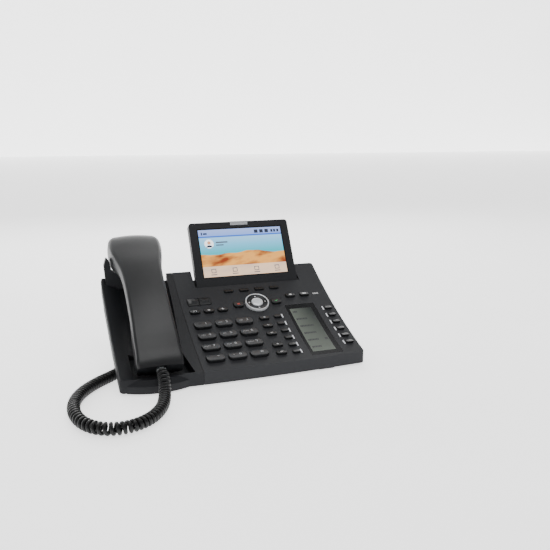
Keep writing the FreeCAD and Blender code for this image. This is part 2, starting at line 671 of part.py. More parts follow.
def panel_outer():
    """The display's outside: a slab whose lower edge is a roll about the hinge."""
    half = 0.5 * PANEL_W
    t = 0.5 * PANEL_T
    corner = 3.2
    slab = panel_blank(half, 0, PANEL_H, -t, t, corner)
    slab = slab.fuse(panel_blank(half, 0, 20, -t, t, 0.8))
    return slab.fuse(hinge_roll(t, half)).removeSplitter()


DISPLAY_SPLIT = 0.6
FRAME_MARGIN = 1.4


def screen_box(margin, y0, y1):
    """Block over the screen's active area, with a margin all round."""
    return box(-0.5 * SCREEN_W - margin, 0.5 * SCREEN_W + margin, y0, y1,
               SCREEN_UP - 0.5 * SCREEN_H - margin, SCREEN_UP + 0.5 * SCREEN_H + margin)


def light_box(grow):
    """Space of the message light in the display's top edge."""
    half = 0.5 * LIGHT_W + grow
    return box(-half, half, -4.5, 2.0 + grow, PANEL_H - LIGHT_H - grow, PANEL_H + 2)


def display_frame():
    """Front bezel: skin, rim and the lower half of the hinge roll's front."""
    t = 0.5 * PANEL_T
    front = panel_outer().common(box(-100, 100, -t - 1, DISPLAY_SPLIT, -20, 100))
    inner = panel_blank(0.5 * PANEL_W - PANEL_SKIN, t + 1.2, PANEL_H - PANEL_SKIN, -t + PANEL_SKIN, t, 2.0)
    front = front.cut(inner).cut(screen_box(FRAME_MARGIN, -t - 1, 0)).cut(light_box(0.1))
    front = front.cut(hinge_roll(PIN_R + PIN_FIT, 100))
    return on_panel(main_solid(front))


def display_rear_cover():
    """Back half of the display with a column of vents."""
    t = 0.5 * PANEL_T
    back = panel_outer().common(box(-100, 100, DISPLAY_SPLIT + 0.1, t + 1, -20, 100))
    inner = panel_blank(0.5 * PANEL_W - PANEL_SKIN, t + 1.2, PANEL_H - PANEL_SKIN, -t, t - PANEL_SKIN, 2.0)
    back = back.cut(inner).cut(light_box(0.1)).cut(hinge_roll(PIN_R + PIN_FIT, 100))
    for i in range(7):
        z = 20 + 5.0 * i
        back = back.cut(box(-14, 14, 0, 10, z, z + 1.6))
    return on_panel(main_solid(back))


def colour_display():
    """Colour display module behind its window."""
    t = 0.5 * PANEL_T
    half = 0.5 * SCREEN_W + 4.0
    module = box(-half, half, -t + PANEL_SKIN + 0.1, t - PANEL_SKIN - 1.4,
                 SCREEN_UP - 0.5 * SCREEN_H - 3.4, SCREEN_UP + 0.5 * SCREEN_H + 2.6)
    return on_panel(module)


def display_window():
    """Clear pane in the bezel."""
    t = 0.5 * PANEL_T
    return on_panel(screen_box(FRAME_MARGIN - 0.1, -t + 0.35, -t + PANEL_SKIN))


def message_light():
    """Light bar in the middle of the display's top edge."""
    t = 0.5 * PANEL_T
    lens = box(-0.5 * LIGHT_W, 0.5 * LIGHT_W, -t - 0.25, 1.6, PANEL_H - LIGHT_H, PANEL_H + 0.3)
    return on_panel(lens)


def hinge_pins():
    """Two pins, one at each end of the display's foot."""
    return Part.Compound([rod(x0, HINGE_Y, HINGE_Z, PIN_R, x1 - x0, X_AXIS) for x0, x1 in PIN_SPANS])


# ---- handset ----
TOP_A, TOP_B, TOP_SAG = (-0.5, 25.5), (151.0, 119.0), 10.0
CROWN_TOP, CROWN_SIDE = 1.3, 0.6
EAR_AT, MOUTH_AT = 0.88, 0.10
HANDSET_WALL, PARTING_DEPTH, JACK_DEPTH = 2.2, 8.5, 7.4
# Stations along the back of the handset: place (0 mouth end, 1 ear end), half width,
# thickness, how far the back drops below its arc, and the radius of the long edges.
STATIONS = [(0.000, 20.6, 17.6, 0.8, 2.2), (0.012, 21.3, 18.8, 0.1, 3.0), (0.08, 21.2, 24.0, 0.0, 3.4),
            (0.17, 20.9, 22.5, 0.0, 3.4), (0.26, 20.4, 17.5, 0.0, 3.4), (0.42, 20.0, 16.0, 0.0, 3.6),
            (0.60, 20.4, 16.5, 0.0, 3.6), (0.72, 22.6, 20.0, 0.0, 4.0), (0.83, 26.4, 26.5, 0.0, 4.6),
            (0.92, 27.4, 28.0, -0.6, 5.0), (0.97, 26.2, 26.0, -0.4, 5.4), (1.00, 22.5, 21.5, 1.2, 5.4),
            (1.012, 18.5, 17.0, 3.2, 5.0)]


def top_arc():
    """Centre, radius and the two end angles of the arc along the handset's back."""
    (ya, za), (yb, zb) = TOP_A, TOP_B
    chord = math.hypot(yb - ya, zb - za)
    r = (0.25 * chord ** 2 + TOP_SAG ** 2) / (2 * TOP_SAG)
    uy, uz = (yb - ya) / chord, (zb - za) / chord
    cy = 0.5 * (ya + yb) + uz * (r - TOP_SAG)
    cz = 0.5 * (za + zb) - uy * (r - TOP_SAG)
    return cy, cz, r, math.atan2(za - cz, ya - cy), math.atan2(zb - cz, yb - cy)


def section_wire(station, shrink):
    """Closed curve across the handset: four crowned sides joined by four round corners."""
    t, half, thick, drop, corner = station
    cy, cz, r, a0, a1 = top_arc()
    a = a0 + (a1 - a0) * t
    ny, nz = math.cos(a), math.sin(a)
    mid = r - drop - 0.5 * thick
    w = half - shrink
    h = 0.5 * thick - shrink
    c = max(corner - shrink, 0.8)
    side = w - CROWN_SIDE
    top = h - CROWN_TOP
    k = c * (1 - math.sqrt(0.5))

    def at(px, pn):
        return V(HANDSET_X + px, cy + ny * (mid + pn), cz + nz * (mid + pn))

    arcs = []
    for sx, sn in ((1, 1), (-1, 1), (-1, -1), (1, -1)):
        before = at(sx * side, sn * (top - c))
        bend = at(sx * (side - k), sn * (top - k))
        after = at(sx * (side - c), sn * top)
        ends = (before, after) if sx * sn > 0 else (after, before)
        arcs.append(Part.Arc(ends[0], bend, ends[1]).toShape())
        if sx * sn > 0:
            crown = Part.Arc(after, at(0, sn * h), at(-sx * (side - c), sn * top))
        else:
            crown = Part.Arc(before, at(sx * w, 0), at(sx * side, -sn * (top - c)))
        arcs.append(crown.toShape())
    return Part.Wire(arcs)


def handset_body(grow):
    """The whole handset as one solid, grown all round by the given amount."""
    return Part.makeLoft([section_wire(s, -grow) for s in STATIONS], True, False)


def handset_core():
    """Space inside the handset's walls."""
    inner = [(0.015 + t * 0.965, h, k, d, c) for t, h, k, d, c in STATIONS]
    return Part.makeLoft([section_wire(s, HANDSET_WALL) for s in inner], True, False)


def parting_prism():
    """Everything above the line where the two handset shells meet."""
    cy, cz, r, a0, a1 = top_arc()
    steps = 12
    part_r = r - PARTING_DEPTH
    pts = []
    for i in range(steps + 1):
        a = a0 + 0.06 + (a1 - a0 - 0.12) * i / steps
        pts.append((cy + part_r * math.cos(a), cz + part_r * math.sin(a)))
    return side_prism(pts + [(pts[-1][0], 220), (-80, 220), (-80, pts[0][1])], -130, -30)


def handset_jack_frame():
    """Middle of the plug in the handset's end face."""
    cy, cz, r, a0, _ = top_arc()
    mid = r - JACK_DEPTH
    return V(HANDSET_X, cy + mid * math.cos(a0), cz + mid * math.sin(a0))


def handset_socket(grow):
    """Space of the modular socket in the mouth end."""
    at = handset_jack_frame()
    half_w, half_h, reach = 4.0 + grow, 3.4 + grow, 12.0
    return box(at.x - half_w, at.x + half_w, at.y - reach, at.y + reach, at.z - half_h, at.z + half_h)


def handset_outer_shell():
    """Upper shell, which carries the crowned back of the handset."""
    skin = handset_body(0).cut(handset_core())
    return main_solid(skin.common(parting_prism()).cut(handset_socket(0.15)))


def handset_inner_shell():
    """Lower shell, with rings of holes for the ear and the mouth."""
    skin = handset_body(0).cut(handset_core())
    low = skin.cut(parting_prism())
    cy, cz, r, a0, a1 = top_arc()
    for t, rings in ((EAR_AT, (0.0, 4.0, 8.0)), (MOUTH_AT, (0.0, 3.5))):
        a = a0 + (a1 - a0) * t
        ny, nz = math.cos(a), math.sin(a)
        for ring in rings:
            count = 1 if ring == 0 else 6
            for i in range(count):
                q = 2 * math.pi * i / count
                x = HANDSET_X + ring * math.cos(q)
                s = ring * math.sin(q)
                start = V(x, cy + ny * (r - 15) - nz * s, cz + nz * (r - 15) + ny * s)
                low = low.cut(Part.makeCylinder(1.0, 30, start, V(0, -ny, -nz)))
    return main_solid(low.cut(handset_socket(0.15)))


def handset_capsule(t, radius, height, depth):
    """Round capsule at place t along the handset, its top face depth below the back."""
    cy, cz, r, a0, a1 = top_arc()
    a = a0 + (a1 - a0) * t
    ny, nz = math.cos(a), math.sin(a)
    mid = r - depth
    return Part.makeCylinder(radius, height, V(HANDSET_X, cy + ny * mid, cz + nz * mid), V(0, -ny, -nz))


def handset_receiver():
    """Round receiver capsule behind the ear end's holes."""
    return handset_capsule(EAR_AT, 14.0, 7.0, 15.5)


def handset_microphone():
    """Small microphone capsule behind the mouth end's holes."""
    return handset_capsule(MOUTH_AT, 4.6, 4.4, 15.9)


PLUG_OUT = 4.7


def handset_plug():
    """Clear modular plug with its latch, pushed into the handset's end."""
    at = handset_jack_frame()
    y0 = plug_mouth_y()
    body = box(at.x - 3.85, at.x + 3.85, y0, y0 + 11, at.z - 3.0, at.z + 1.6)
    latch = box(at.x - 1.6, at.x + 1.6, y0 + 1, y0 + 8, at.z + 1.5, at.z + 2.8)
    return fuse([body, latch])


def plug_mouth_y():
    """Plan place of the plug's outer end, where the cord leaves it."""
    return handset_jack_frame().y - PLUG_OUT


def base_plug():
    """Clear modular plug in the left side of the base."""
    x1 = SIDE_PORT_X
    body = box(x1 - 3.5, x1 + 0.1, 44.9, 51.1, 5.4, 10.4)
    latch = box(x1 - 3.4, x1, 46.4, 49.6, 10.3, 11.4)
    return fuse([body, latch])


# ---- handset cord ----
CORD_Z = CORD_R + 0.3


def cord_route():
    """Points of the curly cord's middle, from the handset's plug to the base's plug."""
    at = handset_jack_frame()
    start = V(at.x, plug_mouth_y(), at.z - 0.7)
    air = [start, start + V(0, -6.0, 0), start + V(-0.5, -13.5, -4.2), V(-83.4, -19.8, 9.2)]
    desk = [(-85.4, -29.0), (-90.4, -45.0), (-99.3, -59.6), (-111.8, -69.8), (-126.6, -73.4),
            (-141.2, -69.2), (-152.2, -57.0), (-158.0, -40.0), (-159.2, -21.0), (-155.4, -2.5),
            (-146.8, 14.0), (-134.5, 28.5), (-120.5, 40.5)]
    end = [V(-109.5, 48.0, CORD_Z + 2.0), V(SIDE_PORT_X - 3.5, 48.0, CORD_Z + 2.0)]
    return air + [V(x, y, CORD_Z) for x, y in desk] + end


def tube_path(points):
    """One wire of straight runs joined by tangent arcs, and the arcs' radii."""
    edges = []
    radii = []
    last = points[0]
    for i in range(1, len(points) - 1):
        before, here, after = points[i - 1], points[i], points[i + 1]
        u = (here - before).normalize()
        w = (after - here).normalize()
        turn = u.getAngle(w)
        back = 0.45 * min((here - before).Length, (after - here).Length)
        radii.append(back / math.tan(0.5 * turn))
        p0 = here - u * back
        p1 = here + w * back
        bisector = (w - u).normalize()
        r = radii[-1]
        middle = here + bisector * (r / math.cos(0.5 * turn) - r)
        edges.append(Part.LineSegment(last, p0).toShape())
        edges.append(Part.Arc(p0, middle, p1).toShape())
        last = p1
    edges.append(Part.LineSegment(last, points[-1]).toShape())
    return Part.Wire(edges), radii


def handset_cord():
    """Fat tube with the outer diameter of the curly cord."""
    points = cord_route()
    path, radii = tube_path(points)
    ring = Part.Wire([Part.makeCircle(CORD_R, points[0], points[1] - points[0])])
    tube = path.makePipeShell([ring], True, True)
    expected = math.pi * CORD_R ** 2 * path.Length
    print("cord arc radii", [round(r, 1) for r in radii])
    print("cord runs", [round((b - a).Length, 1) for a, b in zip(points, points[1:])])
    print("cord length", round(path.Length, 1), "volume ratio", round(tube.Volume / expected, 4))
    return tube


# ---- assembly ----

def build_all():
    """Every named piece, made where it stands."""
    parts = {
        "lower_housing": lower_housing(),
        "cradle_cover": cradle_cover(),
        "keypad_cover": keypad_cover(),
        "key_mat": key_mat(),
        "main_board": main_board(),
        "line_display": line_display(),
        "line_display_window": line_display_window(),
        "line_light_guides": line_light_guides(),
        "desk_stand": desk_stand(),
        "rubber_feet": rubber_feet(),
        "housing_screws": housing_screws(),
        "loudspeaker": loudspeaker(),
        "jack_sockets": jack_sockets(),
        "hinge_pins": hinge_pins(),
        "hook_lever": hook_lever(),
        "display_frame": display_frame(),
        "display_rear_cover": display_rear_cover(),
        "colour_display": colour_display(),
        "display_window": display_window(),
        "message_light": message_light(),
        "handset_outer_shell": handset_outer_shell(),
        "handset_inner_shell": handset_inner_shell(),
        "handset_receiver": handset_receiver(),
        "handset_microphone": handset_microphone(),
        "handset_plug": handset_plug(),
        "base_plug": base_plug(),
        "handset_cord": handset_cord(),
        "navigation_ring": navigation_ring(),
        "select_key": select_key(),
        "volume_rocker": volume_rocker(),
        "line_keys_left": line_keys("left"),
        "line_keys_right": line_keys("right"),
    }
    for name, x, y, form in key_list():
        parts[name] = on_deck(key_blank(*form), x, y)
    return parts


def overall_middle(parts):
    """Middle of the phone's depth, leaving out the cord and its base plug."""
    boxes = [s.optimalBoundingBox(False) for n, s in parts.items() if n not in ("handset_cord", "base_plug")]
    xm = 0.5 * (min(b.XMin for b in boxes) + max(b.XMax for b in boxes))
    ym = 0.5 * (min(b.YMin for b in boxes) + max(b.YMax for b in boxes))
    return V(xm, ym, 0)


def main():
    os.makedirs("parts", exist_ok=True)
    parts = build_all()
    middle = overall_middle(parts)
    for name, shape in parts.items():
        placed = shape.copy()
        placed.translate(middle * -1)
        placed.exportStep(f"parts/{name}.step")
        b = placed.BoundBox
        print(f"{name:22s} solids {len(placed.Solids)} valid {placed.isValid()} volume {placed.Volume:9.0f} "
              f"x {b.XMin:.1f}..{b.XMax:.1f} y {b.YMin:.1f}..{b.YMax:.1f} z {b.ZMin:.1f}..{b.ZMax:.1f}")
    print("middle", round(middle.x, 3), round(middle.y, 3), "parts", len(parts))


main()
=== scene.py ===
"""Desk IP phone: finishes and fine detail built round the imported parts, in metres."""

from __future__ import annotations

import json
import logging
import math
from dataclasses import dataclass, field
from enum import Enum
from typing import Callable, Iterable, Optional, Sequence

import bpy
from mathutils import Matrix, Vector

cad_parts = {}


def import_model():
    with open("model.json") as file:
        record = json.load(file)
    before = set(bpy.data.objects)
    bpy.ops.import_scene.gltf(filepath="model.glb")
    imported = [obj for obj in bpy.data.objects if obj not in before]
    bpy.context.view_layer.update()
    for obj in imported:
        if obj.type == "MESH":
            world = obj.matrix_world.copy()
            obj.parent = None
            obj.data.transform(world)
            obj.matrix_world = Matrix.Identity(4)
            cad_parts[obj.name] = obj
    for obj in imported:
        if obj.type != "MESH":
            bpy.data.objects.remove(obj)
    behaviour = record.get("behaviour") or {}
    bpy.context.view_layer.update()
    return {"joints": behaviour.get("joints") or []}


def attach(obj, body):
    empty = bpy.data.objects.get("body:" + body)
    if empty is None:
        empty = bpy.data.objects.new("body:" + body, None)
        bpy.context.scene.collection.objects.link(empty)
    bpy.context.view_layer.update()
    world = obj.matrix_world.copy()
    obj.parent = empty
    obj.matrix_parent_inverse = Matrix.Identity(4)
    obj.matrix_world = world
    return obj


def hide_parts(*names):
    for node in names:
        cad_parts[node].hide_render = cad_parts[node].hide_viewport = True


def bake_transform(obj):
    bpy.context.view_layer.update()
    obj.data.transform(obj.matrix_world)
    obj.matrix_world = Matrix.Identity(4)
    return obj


LOG = logging.getLogger("desk_phone")
MM = 0.001

Point2 = tuple[float, float]
Point3 = tuple[float, float, float]
Colour = tuple[float, float, float, float]


class Body(Enum):
    """Rigid bodies that pieces ride on."""

    BASE = "base"
    DISPLAY = "display"
    HANDSET = "handset"


class KeyTop(Enum):
    """Shapes of a key's top."""

    SLOPED = "sloped"
    RIDGED = "ridged"


# ---------------------------------------------------------------- helpers


def srgb(code: str) -> Colour:
    """Turn an sRGB hex colour into linear values.

    Args:
        code: colour as "#rrggbb".

    Returns:
        Linear red, green and blue, and full opacity.
    """
    out = []
    for i in (1, 3, 5):
        c = int(code[i:i + 2], 16) / 255
        out.append(c / 12.92 if c <= 0.04045 else ((c + 0.055) / 1.055) ** 2.4)
    return out[0], out[1], out[2], 1.0


def add_node(tree: bpy.types.NodeTree, kind: str, settings: Optional[dict] = None,
             links: Optional[dict] = None) -> bpy.types.Node:
    """Add a shader node with its settings and links.

    Args:
        tree: node tree to add to.
        kind: Blender's node type.
        settings: attribute names, or "in:NAME" for a socket's value.
        links: input socket's name or number to the output socket that feeds it.

    Returns:
        The new node.
    """
    node = tree.nodes.new(kind)
    for name, value in (settings or {}).items():
        if name.startswith("in:"):
            key = name[3:]
            node.inputs[int(key) if key.isdigit() else key].default_value = value
        else:
            setattr(node, name, value)
    for name, source in (links or {}).items():
        tree.links.new(source, node.inputs[name])
    return node


def new_object(name: str, verts: Sequence[Sequence[float]], faces: Sequence[Sequence[int]],
               materials: Sequence[bpy.types.Material] = (),
               face_slots: Optional[Sequence[int]] = None,
               smooth: bool = True) -> bpy.types.Object:
    """Make a mesh object from points and faces.

    Args:
        name: the object's name.
        verts: points in metres.
        faces: point numbers of each face.
        materials: material slots.
        face_slots: slot number of each face.
        smooth: shade the faces smooth.

    Returns:
        The new object, linked to the scene.
    """
    mesh = bpy.data.meshes.new(name)
    mesh.from_pydata([tuple(v) for v in verts], [], [tuple(f) for f in faces])
    for m in materials:
        mesh.materials.append(m)
    for i, poly in enumerate(mesh.polygons):
        poly.use_smooth = smooth
        if face_slots is not None:
            poly.material_index = face_slots[i]
    mesh.validate()
    obj = bpy.data.objects.new(name, mesh)
    bpy.context.scene.collection.objects.link(obj)
    return obj


def rounded_outline(w: float, d: float, r: float, steps: int = 6) -> list[Point2]:
    """Outline of a rounded rectangle about its middle.

    Args:
        w: width.
        d: depth.
        r: corner radius.
        steps: points along each corner.

    Returns:
        Points in order round the outline.
    """
    r = max(min(r, 0.5 * w - 1e-6, 0.5 * d - 1e-6), 1e-6)
    pts = []
    for i, (sx, sy) in enumerate(((1, 1), (-1, 1), (-1, -1), (1, -1))):
        for k in range(steps + 1):
            a = math.radians(90 * i + 90 * k / steps)
            pts.append((sx * (0.5 * w - r) + r * math.cos(a), sy * (0.5 * d - r) + r * math.sin(a)))
    return pts


def skin_loops(loops: Sequence[Sequence[Sequence[float]]], cap_start: bool = False,
               cap_end: bool = True) -> tuple[list, list]:
    """Join loops of the same number of points with quads.

    Args:
        loops: rings of points.
        cap_start: close the first ring.
        cap_end: close the last ring.

    Returns:
        Points and faces.
    """
    n = len(loops[0])
    verts = [p for loop in loops for p in loop]
    faces = []
    for j in range(len(loops) - 1):
        for i in range(n):
            k = (i + 1) % n
            faces.append((j * n + i, j * n + k, (j + 1) * n + k, (j + 1) * n + i))
    if cap_start:
        faces.append(tuple(reversed(range(n))))
    if cap_end:
        faces.append(tuple((len(loops) - 1) * n + i for i in range(n)))
    return verts, faces


# ---------------------------------------------------------------- deck


@dataclass(frozen=True)
class Deck:
    """The body's deck: a shallow arc about an axis along X.

    Lengths are in millimetres, and y is measured from the deck's front edge.
    """

    front_y: float
    arc_y: float = -165.0
    arc_z: float = 540.7
    arc_r: float = 552.1

    @classmethod
    def from_frame(cls, joints: Iterable[dict]) -> "Deck":
        """Place the deck from the display's hinge.

        Args:
            joints: the record's joints.

        Returns:
            The deck in the parts' frame.
        """
        hinge_from_edge = 118.3
        tilt = next(j for j in joints if j["name"] == "display_tilt")
        return cls(front_y=tilt["pos_m"][1] / MM - hinge_from_edge)

    def height(self, y: float) -> float:
        """Height of the deck at y, in millimetres."""
        return self.arc_z - math.sqrt(self.arc_r ** 2 - (y - self.arc_y) ** 2)

    def slope(self, y: float) -> float:
        """Slope of the deck at y, in radians."""
        return math.asin((y - self.arc_y) / self.arc_r)

    def matrix(self, x: float, y: float, lift: float = 0.0) -> Matrix:
        """Place on the deck, turned so that local Z is the deck's normal.

        Args:
            x: millimetres across.
            y: millimetres from the front edge.
            lift: millimetres off the deck along its normal.

        Returns:
            Matrix in metres.
        """
        turn = Matrix.Rotation(self.slope(y), 4, "X")
        at = Vector((x, y + self.front_y, self.height(y))) + turn @ Vector((0, 0, lift))
        return Matrix.Translation(at * MM) @ turn

    def place(self, x: float, y: float, z: float) -> Vector:
        """A plain point given from the front edge, in metres."""
        return Vector((x, y + self.front_y, z)) * MM


# ---------------------------------------------------------------- finishes


def new_material(name: str) -> tuple[bpy.types.Material, bpy.types.NodeTree, bpy.types.Node]:
    """Start a material with one principled shader.

    Args:
        name: the material's name.

    Returns:
        The material, its tree and the shader.
    """
    mat = bpy.data.materials.new(name)
    mat.use_nodes = True
    tree = mat.node_tree
    tree.nodes.clear()
    shader = add_node(tree, "ShaderNodeBsdfPrincipled")
    add_node(tree, "ShaderNodeOutputMaterial", links={"Surface": shader.outputs[0]})
    return mat, tree, shader


def object_coords(tree: bpy.types.NodeTree, per_mm: float) -> bpy.types.NodeSocket:
    """Object coordinates scaled so that 1 is 1 / per_mm millimetres."""
    coord = add_node(tree, "ShaderNodeTexCoord")
    scale = per_mm / MM
    mapping = add_node(tree, "ShaderNodeMapping", {"in:Scale": (scale, scale, scale)},
                       {"Vector": coord.outputs["Object"]})
    return mapping.outputs[0]


def noise_over(tree: bpy.types.NodeTree, size_mm: float, detail: float) -> bpy.types.NodeSocket:
    """Soft noise whose features are about size_mm across."""
    node = add_node(tree, "ShaderNodeTexNoise", {"in:Scale": 1.0, "in:Detail": detail},
                    {"Vector": object_coords(tree, 1 / size_mm)})
    return node.outputs[0]


def blend_colours(tree: bpy.types.NodeTree, low: Colour, high: Colour,
                  share: bpy.types.NodeSocket) -> bpy.types.NodeSocket:
    """Colour between low and high by a share from 0 to 1."""
    node = add_node(tree, "ShaderNodeMix", {"data_type": "RGBA", "in:6": low, "in:7": high},
                    {0: share})
    return node.outputs[2]


def share_of_way(tree: bpy.types.NodeTree, source: bpy.types.NodeSocket, low: float,
                 high: float) -> bpy.types.NodeSocket:
    """Share of the way from low to high, not clamped."""
    node = add_node(tree, "ShaderNodeMapRange", {"clamp": False, "in:1": low, "in:2": high},
                    {0: source})
    return node.outputs[0]


def maths(tree: bpy.types.NodeTree, how: str, a, b) -> bpy.types.NodeSocket:
    """One math node on two sockets or numbers."""
    node = add_node(tree, "ShaderNodeMath", {"operation": how})
    for i, value in enumerate((a, b)):
        if isinstance(value, (int, float)):
            node.inputs[i].default_value = value
        else:
            tree.links.new(value, node.inputs[i])
    return node.outputs[0]


def inside_unit(tree: bpy.types.NodeTree, u: bpy.types.NodeSocket,
                v: bpy.types.NodeSocket) -> bpy.types.NodeSocket:
    """1 where u and v both lie between 0 and 1, and 0 elsewhere."""
    sides = [maths(tree, "GREATER_THAN", u, 0.0), maths(tree, "LESS_THAN", u, 1.0),
             maths(tree, "GREATER_THAN", v, 0.0), maths(tree, "LESS_THAN", v, 1.0)]
    lit = sides[0]
    for side in sides[1:]:
        lit = maths(tree, "MULTIPLY", lit, side)
    return lit


@dataclass(frozen=True)
class Moulded:
    """Injection-moulded plastic with a spark-eroded grain.

    grain_mm is the size of the grain, grain_height its bump and mottle the change of
    brightness over mottle_mm.
    """

    name: str
    colour: str
    roughness: float = 0.45
    rough_spread: float = 0.08
    grain_mm: float = 0.35
    grain_height: float = 0.03
    mottle: float = 0.10
    mottle_mm: float = 25.0
    specular: float = 0.5
    metallic: float = 0.0

    def make(self) -> bpy.types.Material:
        """Build the material."""
        mat, tree, shader = new_material(self.name)
        grain = noise_over(tree, self.grain_mm, 3.0)
        mottle = noise_over(tree, self.mottle_mm, 4.0)
        base = srgb(self.colour)
        low = tuple(c * (1 - self.mottle) for c in base[:3]) + (1.0,)
        high = tuple(min(c * (1 + self.mottle), 1.0) for c in base[:3]) + (1.0,)
        tree.links.new(blend_colours(tree, low, high, mottle), shader.inputs["Base Color"])
        rough = add_node(tree, "ShaderNodeMapRange",
                         {"in:1": 0.3, "in:2": 0.7, "in:3": self.roughness - self.rough_spread,
                          "in:4": self.roughness + self.rough_spread}, {0: grain})
        tree.links.new(rough.outputs[0], shader.inputs["Roughness"])
        bump = add_node(tree, "ShaderNodeBump",
                        {"in:Strength": 0.6, "in:Distance": self.grain_height * MM},
                        {"Height": grain})
        tree.links.new(bump.outputs[0], shader.inputs["Normal"])
        shader.inputs["Specular IOR Level"].default_value = self.specular
        shader.inputs["Metallic"].default_value = self.metallic
        return mat


@dataclass(frozen=True)
class Lens:
    """Frosted translucent plastic, lit a little from within."""

    name: str
    colour: str
    glow: float = 0.15

    def make(self) -> bpy.types.Material:
        """Build the material."""
        mat, tree, shader = new_material(self.name)
        noise = noise_over(tree, 4.0, 2.0)
        base = srgb(self.colour)
        dim = tuple(0.82 * c for c in base[:3]) + (1.0,)
        tint = blend_colours(tree, dim, base, noise)
        tree.links.new(tint, shader.inputs["Base Color"])
        tree.links.new(tint, shader.inputs["Emission Color"])
        shader.inputs["Emission Strength"].default_value = self.glow
        shader.inputs["Roughness"].default_value = 0.35
        shader.inputs["Subsurface Weight"].default_value = 0.4
        shader.inputs["Subsurface Radius"].default_value = (2 * MM, 2 * MM, 2 * MM)
        return mat


@dataclass(frozen=True)
class Ink:
    """Printed ink or a lit mark on a screen."""

    name: str
    colour: str
    glow: float = 0.0
    roughness: float = 0.5

    def make(self) -> bpy.types.Material:
        """Build the material."""
        mat, tree, shader = new_material(self.name)
        noise = noise_over(tree, 0.6, 2.0)
        base = srgb(self.colour)
        worn = tuple(0.88 * c for c in base[:3]) + (1.0,)
        tint = blend_colours(tree, worn, base, noise)
        tree.links.new(tint, shader.inputs["Base Color"])
        tree.links.new(tint, shader.inputs["Emission Color"])
        shader.inputs["Emission Strength"].default_value = self.glow
        shader.inputs["Roughness"].default_value = self.roughness
        return mat


@dataclass(frozen=True)
class ClearPlastic:
    """Clear moulded plastic of the modular plugs."""

    name: str
    colour: str

    def make(self) -> bpy.types.Material:
        """Build the material."""
        mat, tree, shader = new_material(self.name)
        noise = noise_over(tree, 2.0, 2.0)
        rough = add_node(tree, "ShaderNodeMapRange", {"in:3": 0.08, "in:4": 0.22}, {0: noise})
        tree.links.new(rough.outputs[0], shader.inputs["Roughness"])
        shader.inputs["Base Color"].default_value = srgb(self.colour)
        shader.inputs["Transmission Weight"].default_value = 0.6
        shader.inputs["IOR"].default_value = 1.49
        return mat


